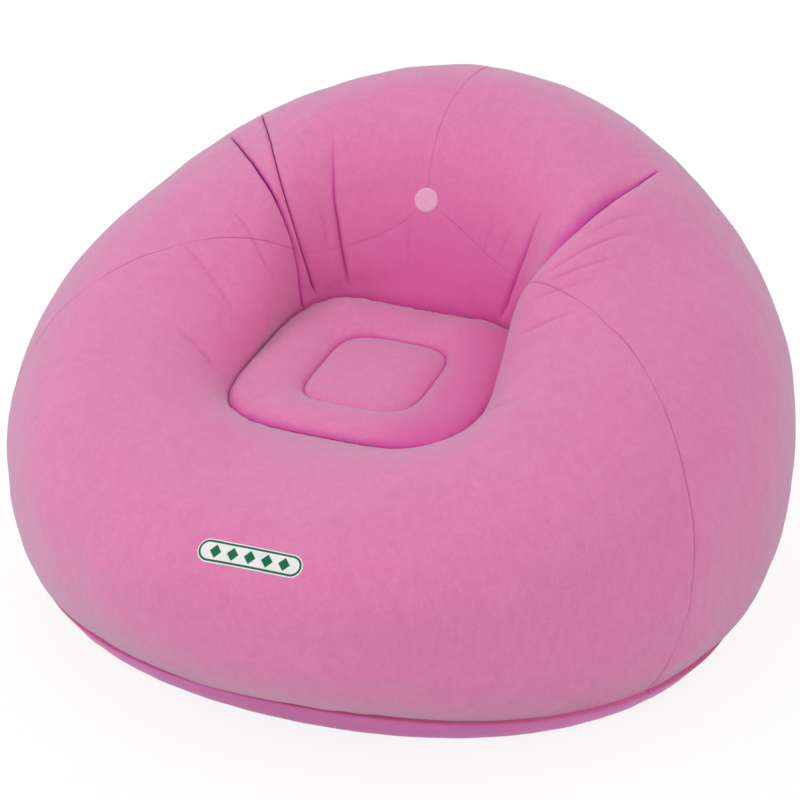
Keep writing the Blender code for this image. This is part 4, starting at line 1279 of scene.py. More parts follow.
    def build(self) -> None:
        """Build and dress the panels and the tapes behind their seams."""
        whole = self.flat_sheet()
        front = whole.cut(-whole.data[:, Sheet.SIDE])
        rear = whole.cut(whole.data[:, Sheet.SIDE])
        right = rear.where(lambda mean: mean[Sheet.TURN] < 270.0)
        right = right.cut(right.data[:, Sheet.VALVE] - self.valve.hole)
        left = rear.where(lambda mean: mean[Sheet.TURN] > 270.0)
        for name, sheet in (("front_panel", front), ("left_back_panel", left), ("right_back_panel", right)):
            panel = self.panel(name + "_flocked", sheet)
            Workbench.dress(panel, Slot.FLOCK, BODY, [name], self.palette.flock)
        self._build_tapes(whole)

    def _build_tapes(self, whole: Sheet, half: float = 11 * MM, start: float = 0.1) -> None:
        """Build the strips welded behind the seams."""
        above = whole.cut(whole.data[:, Sheet.STATION] - start)
        strip = above.cut(above.data[:, Sheet.SIDE] + half)
        strip = strip.cut(half - strip.data[:, Sheet.SIDE])
        right = strip.where(lambda mean: mean[Sheet.TURN] < 270.0)
        left = strip.where(lambda mean: mean[Sheet.TURN] > 270.0)
        back = above.cut(half - above.data[:, Sheet.BACK])
        back = back.cut(back.data[:, Sheet.SIDE] - half - JOIN_GAP)
        for name, sheet in (("left_seam_tape", left), ("right_seam_tape", right), ("back_seam_tape", back)):
            tape = self.tape(name + "_strip", sheet)
            Workbench.dress(tape, Slot.INNER, BODY, [name], self.palette.inner)


@dataclass
class SeatCushion:
    """The padded seat: a ring round a smaller pad, parted by the weld of the tether below.

    Attributes:
        edge_gap: gap to the walls, which lean in over the seat at its sides.
        ring_crown: height of the ring over its welds.
        pad_crown: height of the pad over its weld.
        power: roundness of both, less for a fuller shape.
        columns: columns of the mesh.
        ring_rows: rows of the mesh on the ring.
        pad_rows: rows of the mesh on the pad.
    """

    palette: Palette
    thickness: float = 1.2 * MM
    edge_gap: float = 0.6 * MM
    ring_crown: float = 18 * MM
    pad_crown: float = 13 * MM
    power: float = 0.62
    columns: int = 320
    ring_rows: int = 30
    pad_rows: int = 26
    GATHER: ClassVar[float] = 0.9 * MM
    DRAWN: ClassVar[float] = 1.6 * MM
    WELD_SHADE_AND_LINE: ClassVar[float] = 0.35
    WELD_REACH: ClassVar[float] = 0.045
    EDGE_SHADE: ClassVar[float] = 0.45
    EDGE_REACH: ClassVar[float] = 0.11
    SHADE_START: ClassVar[float] = 0.03
    SHADE_RUN: ClassVar[float] = 0.10

    @staticmethod
    def _bell(turn: Array, middle: float, half: float) -> Array:
        """A soft bump from 0 to 1 and back round some turn."""
        return np.exp(-((turn - middle) / half) ** 2)

    def _ring(self, turn: Array, share: float) -> Array:
        """One row of the ring, from its outer weld at 0 to its inner weld at 1."""
        edge = LevelLine(SEAT_LINE.half - self.edge_gap, SEAT_LINE.deep, SEAT_LINE.centre, power=SEAT_LINE.power)
        outer, inner = edge.points(turn), WELD_LINE.points(turn)
        row = outer + (inner - outer) * share
        # The ring is fullest at its back corners and drawn down between them
        puffed = self._bell(turn, 128.0, 15.0) + 0.5 * self._bell(turn, 52.0, 15.0)
        puffed = puffed - 0.4 * self._bell(turn, 84.0, 20.0)
        row[:, 2] += self.ring_crown * (1.0 + 0.45 * puffed) * (4.0 * share * (1.0 - share)) ** self.power
        return row

    def _pad(self, turn: Array, share: float) -> Array:
        """One row of the pad, from its middle at 0 to its weld at 1."""
        weld = WELD_LINE.points(turn)
        middle = np.array([0.0, WELD_LINE.centre, SeatPlane.height(np.array(WELD_LINE.centre))])
        row = middle + (weld - middle) * share
        row[:, 2] += self.pad_crown * (1.0 - share ** 2.4) ** self.power
        return row

    def _wrinkles(self, points: Array, shares: Array) -> Array:
        """Small gathers of the seat at its welds, and a soft unevenness."""
        turn = np.arctan2(points[:, 1] - SEAT_LINE.centre, points[:, 0])
        waves = np.sin(31.0 * turn + 1.8 * np.sin(3.0 * turn)) + 0.7 * np.sin(52.0 * turn + 1.0)
        corners = 0.25 + 0.75 * np.sin(2.0 * turn) ** 4
        back = smooth_step((np.sin(turn) - 0.3) / 0.6)
        near_edge = np.exp(-shares / 0.16) * smooth_step(shares / 0.05)
        near_weld = np.exp(-np.abs(shares - 1.0) / 0.12) * smooth_step(np.abs(shares - 1.0) / 0.04)
        degrees = np.degrees(turn)
        drawn = self._bell(degrees, 82.0, 9.0) * np.exp(-shares / 0.30) * smooth_step(shares / 0.06)
        drawn = drawn * np.sin(2.3 * degrees + 1.5 * np.sin(0.31 * degrees))
        gathers = self.GATHER * waves * (near_edge * (corners + 0.7 * back) + 0.6 * near_weld * corners)
        return gathers + self.DRAWN * drawn

    def build(self) -> None:
        """Build and dress the seat."""
        turn = np.linspace(0.0, FULL_TURN, self.columns, endpoint=False)
        # Rows crowd together where the sheet drops into a weld
        ring = (1.0 - np.cos(np.linspace(0.0, math.pi, self.ring_rows + 1))) / 2.0
        pad = np.sin(np.linspace(math.pi / 2.0, 0.0, self.pad_rows + 1))[1:-1]
        rows = [self._ring(turn, float(share)) for share in ring] + [self._pad(turn, float(share)) for share in pad]
        shares = np.repeat(np.concatenate([ring, 2.0 - pad]), self.columns)
        middle = self._pad(np.zeros(1), 0.0)
        points = np.concatenate(rows)
        points[:, 2] += self._wrinkles(points, shares) + Ripple(0.09, 0.35 * MM, 5).at(points) * smooth_step(
            shares / 0.1)
        number = np.arange(len(points)).reshape(-1, self.columns)
        ahead = np.roll(number, -1, axis=1)
        faces = np.stack([number[:-1], ahead[:-1], ahead[1:], number[1:]], -1).reshape(-1, 4).tolist()
        faces += [[int(a), int(b), len(points)] for a, b in zip(number[-1], ahead[-1])]
        obj = Workbench.from_corners("seat_cushion", np.concatenate([points, middle]), faces)
        # A darker weld line with shade painted beside it where ring and pad drop into the weld, and shade painted
        # along the seat's edge under the walls
        shade_and_seam_line = np.clip(1.0 - np.abs(shares - 1.0) / self.WELD_REACH, 0.0, 1.0) * self.WELD_SHADE_AND_LINE
        shade_and_seam_line = np.maximum(shade_and_seam_line, np.clip(1.0 - shares / self.EDGE_REACH, 0.0, 1.0) ** 1.5 * self.EDGE_SHADE)
        # Shade painted on the seat's right, beside the right arm
        shade = smooth_step((points[:, 0] - self.SHADE_START) / self.SHADE_RUN)
        Workbench.store(obj, "shade_and_seam_line", np.append(shade_and_seam_line, 0.0))
        Workbench.store(obj, "painted_shade_and_lip_tint", np.append(shade, 0.0))
        Workbench.modify(obj, "SOLIDIFY", thickness=self.thickness, offset=-1.0, use_rim=True)
        Workbench.smooth(obj, 60.0)
        Workbench.dress(obj, Slot.FLOCK, BODY, ["seat_panel"], self.palette.flock)


@dataclass
class BaseTray:
    """The base panel: flat on the floor, with a rounded rim up to the weld.

    Attributes:
        thickness: of the sheet.
        flat_share: the part that lies flat at the front, sides and back, as a share of the base weld.
        rim_power: roundness of the rim.
        drop: how far below the weld's line the sheet starts.
        columns: columns of the mesh.
        rim_rows: rows of the mesh on the rim.
    """

    palette: Palette
    thickness: float = 0.8 * MM
    flat_share: tuple[float, float, float] = (0.938, 0.900, 0.925)
    rim_power: float = 1.8
    drop: float = 2.3 * MM
    columns: int = 360
    rim_rows: int = 14
    GATHER: ClassVar[float] = 0.8 * MM
    FLOOR_SHARES: ClassVar[tuple[float, ...]] = (0.8, 0.5, 0.2)

    def build(self) -> None:
        """Build and dress the base."""
        turn = np.linspace(0.0, FULL_TURN, self.columns, endpoint=False)
        weld = BASE_LINE.points(turn)
        drop, whole = (0.0, 0.0, self.drop), np.ones(self.columns)
        root = weld - drop + BaseWeld.shift(weld, turn, whole, 0.0 * whole)
        lip = weld - drop + BaseWeld.shift(weld, turn, whole, whole)
        middle = np.array([0.0, BASE_LINE.centre, 0.0])
        foot = middle + (weld - middle) * front_side_back(turn, self.flat_share)[:, None]
        foot[:, 2] = 0.0
        waves = np.sin(41.0 * np.radians(turn)) + 0.7 * np.sin(67.0 * np.radians(turn) + 1.0)
        rows = [lip, (lip + root) / 2.0, root]
        for sweep in np.linspace(0.0, math.pi / 2.0, self.rim_rows + 1)[1:]:
            inward = 1.0 - math.cos(sweep) ** (2.0 / self.rim_power)
            row = root + (foot - root) * inward
            row[:, 2] = root[:, 2] * (1.0 - math.sin(sweep) ** (2.0 / self.rim_power))
            row[:, :2] *= (1.0 + self.GATHER * waves * math.sin(2.0 * sweep))[:, None]
            rows.append(row)
        for share in self.FLOOR_SHARES:
            rows.append(middle + (foot - middle) * share)
        points = np.concatenate(rows + [middle[None]])
        number = np.arange(len(points) - 1).reshape(-1, self.columns)
        ahead = np.roll(number, -1, axis=1)
        faces = np.stack([number[:-1], number[1:], ahead[1:], ahead[:-1]], -1).reshape(-1, 4).tolist()
        faces += [[int(b), int(a), len(points) - 1] for a, b in zip(number[-1], ahead[-1])]
        obj = Workbench.from_corners("base_tray", points, faces)
        Workbench.modify(obj, "SOLIDIFY", thickness=self.thickness, offset=-1.0, use_rim=True)
        Workbench.smooth(obj)
        Workbench.dress(obj, Slot.BASE, BODY, ["base_panel"], self.palette.base)


@dataclass
class FacePatch:
    """A thin patch that lies on the flocked skin, worked out in the skin's own plane.

    Attributes:
        place: its middle, as turn and station.
        rise: height of its face over the skin.
    """

    place: FlatPoint
    rise: float = 0.7 * MM

    def on_skin(self, across: Array, upward: Array, height: Array) -> Array:
        """Points over the skin.

        Args:
            across: distances to the right of the patch's middle, as one faces it.
            upward: distances up from its middle.
            height: heights over the skin.

        Returns:
            The points.
        """
        turn, station = self.place
        small = 0.01
        here = AirSkin.at(np.array(turn), np.array(station))
        by_turn = (AirSkin.at(np.array(turn + small), np.array(station)) - here) / small
        by_station = (AirSkin.at(np.array(turn), np.array(station + small)) - here) / small
        axis = AirSkin.outward(np.array(turn), np.array(station))
        up = np.array([0.0, 0.0, 1.0]) - axis * axis[2]
        up = up / np.linalg.norm(up)
        right = np.cross(up, axis)
        to_flat = np.linalg.inv(np.array([[by_turn @ right, by_station @ right], [by_turn @ up, by_station @ up]]))
        wanted = np.stack([across, upward], -1)
        flat = np.zeros_like(wanted)
        for _ in range(5):
            plain = AirSkin.at(turn + flat[:, 0], station + flat[:, 1])
            missed = wanted - np.stack([(plain - here) @ right, (plain - here) @ up], -1)
            flat = flat + missed @ to_flat.T
        turns, stations = turn + flat[:, 0], station + flat[:, 1]
        plain = AirSkin.at(turns, stations)
        height = height + sum(swell.at(plain) for swell in SWELLS)
        return plain + AirSkin.outward(turns, stations) * height[:, None]


@dataclass
class CrownPatch(FacePatch):
    """The pale round patch where the three panels meet."""

    palette: Palette | None = None
    radius: float = 18 * MM

    def build(self) -> None:
        """Build and dress the patch."""
        Workbench.clear_selection()
        bpy.ops.mesh.primitive_circle_add(vertices=64, radius=self.radius, fill_type="NGON")
        obj = bpy.context.object
        obj.name = "crown_patch_disc"
        bpy.ops.object.mode_set(mode="EDIT")
        bpy.ops.mesh.select_all(action="SELECT")
        for step in (0.8 * MM, 1.2 * MM, 3 * MM, 5 * MM, 6 * MM):
            bpy.ops.mesh.inset(thickness=step)
        bpy.ops.mesh.poke()
        bpy.ops.object.mode_set(mode="OBJECT")
        flat = np.array([vertex.co[:2] for vertex in obj.data.vertices])
        radius = np.linalg.norm(flat, axis=1)
        edge = smooth_step((self.radius - radius) / (2 * MM))
        height = self.rise + 0.5 * MM * edge - 1.2 * MM * (1.0 - edge)
        height = height + Ripple(0.02, 0.12 * MM, 9).at(flat)
        obj.data.vertices.foreach_set("co", self.on_skin(flat[:, 0], flat[:, 1], height).ravel())
        Workbench.modify(obj, "SOLIDIFY", thickness=0.4 * MM, offset=-1.0)
        Workbench.smooth(obj)
        Workbench.dress(obj, Slot.PALE_FLOCK, BODY, ["crown_patch"], self.palette.pale_flock)


@dataclass
class Badge(FacePatch):
    """The blank badge on the front: a pill of white film with a printed line and a plain row of lozenges."""

    palette: Palette | None = None
    width: float = 141 * MM
    height: float = 31 * MM
    bead: float = 1.2 * MM
    line_inset: float = 1.6 * MM
    line_width: float = 2.9 * MM
    LOZENGE: ClassVar[tuple[float, float, float]] = (11 * MM, 12.5 * MM, 1.0)
    LOZENGE_ROW: ClassVar[float] = 46 * MM
    LOZENGE_COUNT: ClassVar[int] = 5
    INK_RISE: ClassVar[float] = 0.36 * MM
    GRID: ClassVar[float] = 2 * MM

    def _pill(self, name: str, half_width: float, half_height: float, loops: Sequence[float]) -> bpy.types.Object:
        """A flat pill with loops of faces inside its outline."""
        Workbench.clear_selection()
        bpy.ops.mesh.primitive_circle_add(vertices=48, radius=half_height, fill_type="NGON",
                                          rotation=(0.0, 0.0, math.pi / 48.0))
        obj = bpy.context.object
        obj.name = name
        bpy.ops.object.transform_apply(location=False, rotation=True, scale=False)
        for side in (-1.0, 1.0):
            Workbench.pick(obj, "VERT", lambda vertex: vertex.co.x * side > 0.0)
            bpy.ops.transform.translate(value=(side * (half_width - half_height), 0.0, 0.0))
            bpy.ops.object.mode_set(mode="OBJECT")
        bpy.ops.object.mode_set(mode="EDIT")
        bpy.ops.mesh.select_mode(type="FACE")
        bpy.ops.mesh.select_all(action="SELECT")
        for step in loops:
            bpy.ops.mesh.inset(thickness=step)
        for half, cuts, normal in ((half_width, 28, (1.0, 0.0, 0.0)), (half_height, 8, (0.0, 1.0, 0.0))):
            for place in np.linspace(-half, half, cuts)[1:-1]:
                bpy.ops.mesh.select_all(action="SELECT")
                bpy.ops.mesh.bisect(plane_co=[float(place) * part for part in normal], plane_no=normal)
        bpy.ops.object.mode_set(mode="OBJECT")
        return obj

    def _lay(self, obj: bpy.types.Object, height: Callable[[Array], Array], thickness: float) -> None:
        """Lay a flat piece on the skin and give it its thickness."""
        flat = np.array([vertex.co[:2] for vertex in obj.data.vertices])
        obj.data.vertices.foreach_set("co", self.on_skin(flat[:, 0], flat[:, 1], height(flat)).ravel())
        Workbench.modify(obj, "SOLIDIFY", thickness=thickness, offset=-1.0)
        Workbench.smooth(obj)

    def _edge(self, flat: Array) -> Array:
        """Distance of flat places from the pill's outline, inwards."""
        half = self.height / 2.0
        along = np.maximum(np.abs(flat[:, 0]) - (self.width / 2.0 - half), 0.0)
        return half - np.hypot(along, flat[:, 1])

    def build(self) -> None:
        """Build and dress the badge."""
        half_width, half_height = self.width / 2.0, self.height / 2.0
        loops = (0.6 * MM, 0.6 * MM, self.line_inset - self.bead, self.line_width)
        film = self._pill("badge_film", half_width, half_height, loops)
        for face in film.data.polygons:
            inside = float(self._edge(np.array([face.center[:2]]))[0])
            face.material_index = int(self.line_inset < inside < self.line_inset + self.line_width)

        def domed(flat: Array) -> Array:
            """A film with a rolled edge."""
            return self.rise + 0.5 * MM * smooth_step(self._edge(flat) / self.bead) - 0.3 * MM

        self._lay(film, domed, 0.4 * MM)
        Workbench.dress(film, Slot.BADGE, BODY, ["label_patch"], self.palette.film, self.palette.ink)
        for number, place in enumerate(np.linspace(-self.LOZENGE_ROW, self.LOZENGE_ROW, self.LOZENGE_COUNT)):
            self._lozenge(number, float(place))

    def _lozenge(self, number: int, place: float) -> None:
        """One printed lozenge of the plain row across the badge."""
        Workbench.clear_selection()
        bpy.ops.mesh.primitive_plane_add(size=1.0)
        obj = bpy.context.object
        obj.name = "badge_lozenge_%d" % (number + 1)
        bpy.ops.object.mode_set(mode="EDIT")
        bpy.ops.mesh.select_all(action="SELECT")
        bpy.ops.transform.rotate(value=math.pi / 4.0, orient_axis="Z", center_override=(0.0, 0.0, 0.0))
        bpy.ops.transform.resize(value=self.LOZENGE, center_override=(0.0, 0.0, 0.0))
        bpy.ops.mesh.bevel(offset=0.8 * MM, segments=3, affect="VERTICES")
        bpy.ops.mesh.select_all(action="SELECT")
        bpy.ops.mesh.inset(thickness=0.5 * MM)
        bpy.ops.mesh.select_all(action="SELECT")
        bpy.ops.transform.translate(value=(place, 0.0, 0.0))
        for step in range(-4, 5):
            for normal in ((1.0, 0.0, 0.0), (0.0, 1.0, 0.0)):
                bpy.ops.mesh.select_all(action="SELECT")
                bpy.ops.mesh.bisect(plane_co=(place + step * self.GRID, step * self.GRID, 0.0), plane_no=normal)
        bpy.ops.object.mode_set(mode="OBJECT")
        self._lay(obj, lambda flat: np.full(len(flat), self.rise + self.INK_RISE), 0.06 * MM)
        Workbench.dress(obj, Slot.BADGE, BODY, [], self.palette.ink)


@dataclass
class ScrewValve:
    """The air valve: neck, gasket, screw cap with its inlet, check flap and inflation plug.

    Its pieces are modelled about the valve's own axis, z out of the panel and x up it, with z = 0
    on the panel's flocked face, then put in place.
    """

    palette: Palette
    place: ValvePlace = field(default_factory=ValvePlace)
    bore: float = 16.5 * MM
    neck_outer: float = 20.0 * MM
    neck_core: float = 19.1 * MM
    neck_top: float = 9.0 * MM
    neck_flange: float = 25.5 * MM
    pitch: float = 3.0 * MM
    cap_outer: float = 25.0 * MM
    cap_inner: float = 20.4 * MM
    cap_low: float = 1.2 * MM
    cap_top: float = 12.0 * MM
    inlet: float = 8.8 * MM
    inlet_outer: float = 10.8 * MM
    inlet_end: float = 4.6 * MM
    ribs: int = 40
    hinge: tuple[float, float] = (20.3 * MM, 12.8 * MM)

    def _turned(self, name: str, profile: Sequence[tuple[float, float]], sides: int = 96) -> bpy.types.Object:
        """A ring turned from a closed profile, by drawing out and resizing a circle of edges.

        Args:
            name: the piece's name.
            profile: radius and height of each corner, with the material on the left as it runs.
            sides: how many sides the ring has.

        Returns:
            The piece, still about the valve's own axis.
        """
        Workbench.clear_selection()
        radius, height = profile[0]
        bpy.ops.mesh.primitive_circle_add(vertices=sides, radius=radius, location=(0.0, 0.0, height))
        obj = bpy.context.object
        obj.name = name
        bpy.ops.object.transform_apply(location=True, rotation=False, scale=False)
        bpy.ops.object.mode_set(mode="EDIT")
        bpy.ops.mesh.select_mode(type="EDGE")
        bpy.ops.mesh.select_all(action="SELECT")
        for (before, low), (after, high) in zip(profile, [*profile[1:], profile[0]]):
            bpy.ops.mesh.extrude_region_move(TRANSFORM_OT_translate={"value": (0.0, 0.0, high - low)})
            bpy.ops.transform.resize(value=(after / before, after / before, 1.0), center_override=(0.0, 0.0, high))
        bpy.ops.mesh.select_all(action="SELECT")
        bpy.ops.mesh.remove_doubles(threshold=0.01 * MM)
        bpy.ops.mesh.normals_make_consistent(inside=False)
        bpy.ops.object.mode_set(mode="OBJECT")
        return obj

    def _bevelled(self, obj: bpy.types.Object, width: float, angle: float = 40.0) -> None:
        """Round the sharp edges of a piece."""
        Workbench.modify(obj, "BEVEL", width=width, segments=3, limit_method="ANGLE", angle_limit=math.radians(angle),
                         use_clamp_overlap=True)
        Workbench.smooth(obj, 40.0)

    def _put(self, obj: bpy.types.Object) -> None:
        """Move a finished mesh from the valve's own place onto the panel."""
        obj.data.transform(self.place.matrix)
        obj.data.update()

    def _joined(self, target: bpy.types.Object, others: Sequence[bpy.types.Object]) -> None:
        """Fuse pieces into one by unions."""
        for other in others:
            Workbench.modify(target, "BOOLEAN", operation="UNION", object=other, solver="EXACT")
            bpy.data.objects.remove(other, do_unlink=True)

    def _neck(self) -> None:
        """The neck with its outer thread and the flange that the panel is welded to."""
        neck = self._turned("valve_neck_threaded", (
            (self.bore, -5 * MM), (self.neck_flange, -5 * MM), (self.neck_flange, -3 * MM),
            (self.neck_core, -3 * MM), (self.neck_core, self.neck_top - 0.6 * MM),
            (self.neck_core - 0.6 * MM, self.neck_top), (self.bore + 0.5 * MM, self.neck_top),
            (self.bore, self.neck_top - 0.5 * MM)))
        self._bevelled(neck, 0.25 * MM)
        self._joined(neck, [self._thread()])
        Workbench.smooth(neck, 40.0)
        self._put(neck)
        Workbench.dress(neck, Slot.VALVE, BODY, ["valve_neck"], self.palette.plastic)

    def _thread(self) -> bpy.types.Object:
        """A closed right-hand ridge round the neck, which fades out at both ends."""
        turns, steps = 1.9, 64
        count = int(turns * steps)
        points, faces = [], []
        for step in range(count + 1):
            share = step / count
            angle = 2.0 * math.pi * turns * share
            fade = math.sin(math.pi * min(share, 1.0 - share) / 0.16) if min(share, 1.0 - share) < 0.08 else 1.0
            height = 1.4 * MM + self.pitch * turns * share
            low = self.neck_core - 0.3 * MM
            tip = self.neck_core + (self.neck_outer - self.neck_core) * max(fade, 0.02)
            for radius, rise in ((low, -0.8 * MM), (tip, -0.25 * MM), (tip, 0.25 * MM), (low, 0.8 * MM)):
                points.append((radius * math.cos(angle), radius * math.sin(angle), height + rise))
        for step in range(count):
            for corner in range(4):
                a, b = 4 * step + corner, 4 * step + (corner + 1) % 4
                faces.append([a, a + 4, b + 4, b])
        faces += [[0, 1, 2, 3], [4 * count + 3, 4 * count + 2, 4 * count + 1, 4 * count]]
        thread = Workbench.from_corners("neck_thread", np.array(points), faces)
        Workbench.activate(thread)
        bpy.ops.object.mode_set(mode="EDIT")
        bpy.ops.mesh.select_all(action="SELECT")
        bpy.ops.mesh.normals_make_consistent(inside=False)
        bpy.ops.object.mode_set(mode="OBJECT")
        return thread

    def _gasket(self) -> None:
        """The flat seal between the neck and the cap."""
        gasket = self._turned("valve_gasket_ring", ((16.8 * MM, 9.3 * MM), (19.8 * MM, 9.3 * MM),
                                                    (19.8 * MM, 9.9 * MM), (16.8 * MM, 9.9 * MM)))
        self._bevelled(gasket, 0.15 * MM)
        self._put(gasket)
        Workbench.dress(gasket, Slot.RUBBER, "gasket", ["valve_gasket"], self.palette.rubber)

    def _cap(self) -> None:
        """The screw cap: a ribbed skirt, a dished top, the inlet tube, its spider and the strap's anchor."""
        skirt = self.cap_top - 1.6 * MM
        cap = self._turned("valve_cap_ribbed", (
            (self.cap_inner, self.cap_low), (self.cap_outer - 0.7 * MM, self.cap_low),
            (self.cap_outer - 0.7 * MM, skirt), (self.cap_outer - 1.3 * MM, self.cap_top - 0.3 * MM),
            (self.cap_outer - 2.2 * MM, self.cap_top), (18.4 * MM, self.cap_top), (17.6 * MM, self.cap_top - 0.7 * MM),
            (12.9 * MM, self.cap_top - 0.7 * MM), (12.2 * MM, self.cap_top), (self.inlet + 0.6 * MM, self.cap_top),
            (self.inlet, self.cap_top - 0.6 * MM), (self.inlet, self.inlet_end),
            (self.inlet_outer, self.inlet_end), (self.inlet_outer, 10.2 * MM), (self.cap_inner, 10.2 * MM)),
            sides=4 * self.ribs)
        self._rib(cap, skirt)
        parts = [self._block("spider_bar_%d" % arm, (2.2, -0.8, 4.9), (9.6, 0.8, 5.9), arm * 2.0 * math.pi / 3.0)
                 for arm in range(3)]
        hub = self._turned("spider_hub", ((1.2 * MM, 4.8 * MM), (2.8 * MM, 4.8 * MM), (2.8 * MM, 6.0 * MM),
                                          (1.2 * MM, 6.0 * MM)), 32)
        anchor = self._block("strap_anchor", (21.1, -3.0, 11.2), (23.6, 3.0, 12.6), 0.0)
        self._joined(cap, [hub, *parts, anchor])
        self._bevelled(cap, 0.2 * MM, 50.0)
        self._put(cap)
        Workbench.dress(cap, Slot.VALVE, "cap", ["valve_cap"], self.palette.plastic)

    def _rib(self, cap: bpy.types.Object, skirt: float) -> None:
        """Draw out every other pair of the skirt's outer faces as grip ribs."""
        step = 2.0 * math.pi / self.ribs

        def on_rib(face: bpy.types.MeshPolygon) -> bool:
            """Whether a face of the skirt belongs to a rib."""
            radius = math.hypot(face.center.x, face.center.y)
            angle = math.atan2(face.center.y, face.center.x) % step
            on_skirt = radius > self.cap_outer - 0.9 * MM and face.center.z < skirt
            return on_skirt and abs(face.normal.z) < 0.1 and step * 0.25 < angle < step * 0.75

        Workbench.pick(cap, "FACE", on_rib)
        bpy.ops.mesh.extrude_region_shrink_fatten(TRANSFORM_OT_shrink_fatten={"value": -0.65 * MM})
        bpy.ops.mesh.inset(thickness=0.2 * MM, depth=0.0)
        bpy.ops.object.mode_set(mode="OBJECT")

    def _block(self, name: str, low: Colour, high: Colour, turn: float) -> bpy.types.Object:
        """A block between two corners in millimetres, turned about the valve's axis."""
        Workbench.clear_selection()
        middle = [(a + b) / 2.0 * MM for a, b in zip(low, high)]
        bpy.ops.mesh.primitive_cube_add(size=1.0, location=middle)
        obj = bpy.context.object
        obj.name = name
        obj.scale = [(b - a) * MM for a, b in zip(low, high)]
        bpy.ops.object.transform_apply(location=True, rotation=False, scale=True)
        obj.data.transform(Matrix.Rotation(turn, 4, "Z"))
        return obj

    def _flap(self) -> None:
        """The rubber check flap with its stem and bulb."""
        flap = self._turned("check_flap_disc", (
            (0.02 * MM, 3.6 * MM), (9.4 * MM, 3.6 * MM), (10.2 * MM, 3.85 * MM), (10.2 * MM, 4.3 * MM),
            (2.4 * MM, 4.3 * MM), (0.9 * MM, 4.6 * MM), (0.9 * MM, 8.7 * MM), (1.5 * MM, 8.8 * MM),
            (1.6 * MM, 9.2 * MM), (0.9 * MM, 9.7 * MM), (0.02 * MM, 9.7 * MM)), 64)
        self._bevelled(flap, 0.1 * MM)
        self._put(flap)
        Workbench.dress(flap, Slot.RUBBER, "flap", ["check_flap"], self.palette.rubber)

    def _plug(self) -> None:
        """The inflation plug with its grip and the strap to its hinge line."""
        plug = self._turned("inflation_plug_moulded", (
            (0.02 * MM, 11.6 * MM), (5.4 * MM, 11.6 * MM), (5.4 * MM, 7.9 * MM), (5.7 * MM, 7.6 * MM),
            (6.8 * MM, 7.6 * MM), (7.2 * MM, 8.2 * MM), (7.9 * MM, 12.3 * MM),
            (12.5 * MM, 12.3 * MM), (12.5 * MM, 13.4 * MM), (11.9 * MM, 14.0 * MM), (9.6 * MM, 14.0 * MM),
            (9.2 * MM, 13.4 * MM), (0.02 * MM, 13.4 * MM)), 64)
        grip = self._block("plug_grip", (-7.6, -0.9, 12.9), (7.6, 0.9, 14.0), 0.0)
        strap = self._block("plug_strap", (11.4, -3.0, 12.35), (self.hinge[0] / MM + 0.3, 3.0, 13.25), 0.0)
        self._joined(plug, [grip, strap])
        self._bevelled(plug, 0.2 * MM, 50.0)
        self._put(plug)
        Workbench.dress(plug, Slot.VALVE, "plug", ["inflation_plug"], self.palette.plastic)

    def build(self) -> None:
        """Build and dress the valve's pieces, and finish the flange that stays as it is."""
        self._neck()
        self._gasket()
        self._cap()
        self._flap()
        self._plug()
        for name in ("valve_flange", "seat_tether"):
            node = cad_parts[name]
            node.data.materials.clear()
            node.data.materials.append(self.palette.inner)


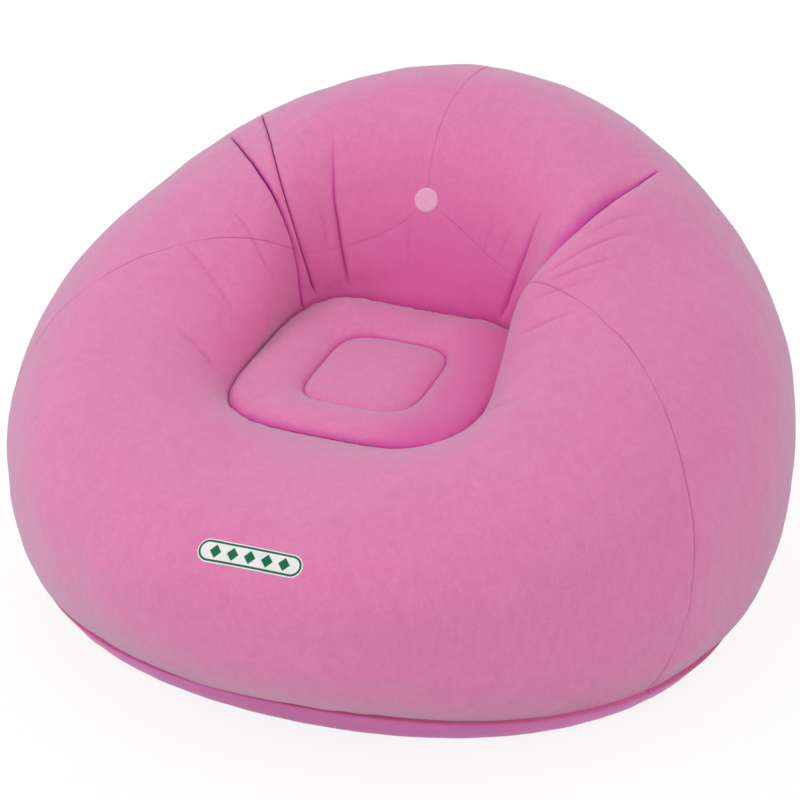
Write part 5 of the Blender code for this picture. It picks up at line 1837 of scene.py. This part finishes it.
@dataclass
class Studio:
    """The floor, the light and the camera, which stands where the photograph was taken.

    Attributes:
        azimuth: the camera's turn towards +X, in degrees.
        elevation: its height over the horizon, in degrees.
        distance: its distance from what it aims at.
        lens: its focal length in millimetres on a 36 mm frame.
        aim: what it aims at.
        nudge: how far that lies to the right and up in its view.
    """

    azimuth: float = 22.137
    elevation: float = 26.810
    distance: float = 4.0007
    lens: float = 127.18
    aim: tuple[float, float, float] = (0.0, 0.0121, 0.3)
    nudge: tuple[float, float] = (0.0056, -0.0162)

    @staticmethod
    def _towards(turn: float, tilt: float) -> Vector:
        """Direction to something at some turn and height over the horizon, in degrees."""
        turn, tilt = math.radians(turn), math.radians(tilt)
        return Vector((math.sin(turn) * math.cos(tilt), -math.cos(turn) * math.cos(tilt), math.sin(tilt)))

    def camera(self) -> None:
        """Place the camera."""
        turn = math.radians(self.azimuth)
        back = self._towards(self.azimuth, self.elevation)
        right = Vector((math.cos(turn), math.sin(turn), 0.0))
        upward = back.cross(right)
        data = bpy.data.cameras.new("camera")
        data.lens = self.lens
        data.sensor_width = 36.0
        camera = bpy.data.objects.new("camera", data)
        bpy.context.scene.collection.objects.link(camera)
        target = Vector(self.aim) + right * self.nudge[0] + upward * self.nudge[1]
        basis = Matrix((right, upward, back)).transposed().to_4x4()
        camera.matrix_world = Matrix.Translation(target + back * self.distance) @ basis
        bpy.context.scene.camera = camera

    def _seen_white(self, desk: Desk) -> Term:
        """1 for what is seen by the camera, in a reflection or through something clear."""
        path = desk.node("ShaderNodeLightPath")
        seen = Term(desk, path.outputs["Is Camera Ray"]) + Term(desk, path.outputs["Is Glossy Ray"])
        return (seen + Term(desk, path.outputs["Is Transmission Ray"])).clipped()

    def floor(self) -> None:
        """A pale floor that runs out to the background."""
        Workbench.clear_selection()
        bpy.ops.mesh.primitive_plane_add(size=60.0, location=(0.0, 0.0, -0.4 * MM))
        floor = bpy.context.object
        floor.name = "studio_floor"
        desk = Desk("studio_floor")
        grain = desk.noise(desk.place(), 3.0, 2.0)
        colour = desk.colours(grain, (0.83, 0.83, 0.83), (0.85, 0.85, 0.85))
        matt = desk.node("ShaderNodeBsdfDiffuse", None, {"Color": colour})
        glow = desk.node("ShaderNodeEmission", None, {"Color": (1.0, 1.0, 1.0, 1.0), "Strength": 1.075})
        shader = desk.mixed(self._seen_white(desk) * 0.80, matt.outputs[0], glow.outputs[0])
        floor.data.materials.append(desk.finish(shader))

    def lamp(self, name: str, turn: float, tilt: float, far: float, size: float, power: float) -> None:
        """A soft square lamp aimed at the chair."""
        data = bpy.data.lights.new(name, "AREA")
        data.shape = "SQUARE"
        data.size = size
        data.energy = power
        lamp = bpy.data.objects.new(name, data)
        bpy.context.scene.collection.objects.link(lamp)
        back = self._towards(turn, tilt)
        lamp.location = Vector(self.aim) + back * far
        lamp.rotation_euler = back.to_track_quat("Z", "Y").to_euler()

    def world(self, level: float) -> None:
        """Even light from all round, and a white background where it is seen."""
        world = bpy.data.worlds.new("studio_light")
        bpy.context.scene.world = world
        desk = Desk(world.name, world)
        seen = self._seen_white(desk)
        light = desk.node("ShaderNodeBackground", None, {
            "Color": (1.0, 1.0, 1.0, 1.0), "Strength": seen * (1.0 - level) + level})
        desk.node("ShaderNodeOutputWorld", None, {"Surface": light.outputs[0]})

    def build(self) -> None:
        """Set up the studio."""
        bpy.context.scene.view_settings.view_transform = "Standard"
        self.camera()
        self.floor()
        self.world(0.79)
        self.lamp("key_lamp", -52.0, 42.0, 4.2, 1.8, 22.0)
        self.lamp("front_lamp", 22.0, 22.0, 5.0, 2.4, 6.0)
        log.info("studio ready")


def main() -> None:
    """Build every piece of the chair and the studio round it."""
    logging.basicConfig(level=logging.INFO, format="%(message)s")
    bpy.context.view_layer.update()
    palette = Palette()
    FlockedSkin(palette).build()
    SeatCushion(palette).build()
    BaseTray(palette).build()
    CrownPatch(place=CROWN, palette=palette).build()
    Badge(place=(-87.9, 1.4), palette=palette).build()
    ScrewValve(palette).build()
    Studio().build()
    Workbench.clear_selection()


if __name__ == "__main__":
    main()
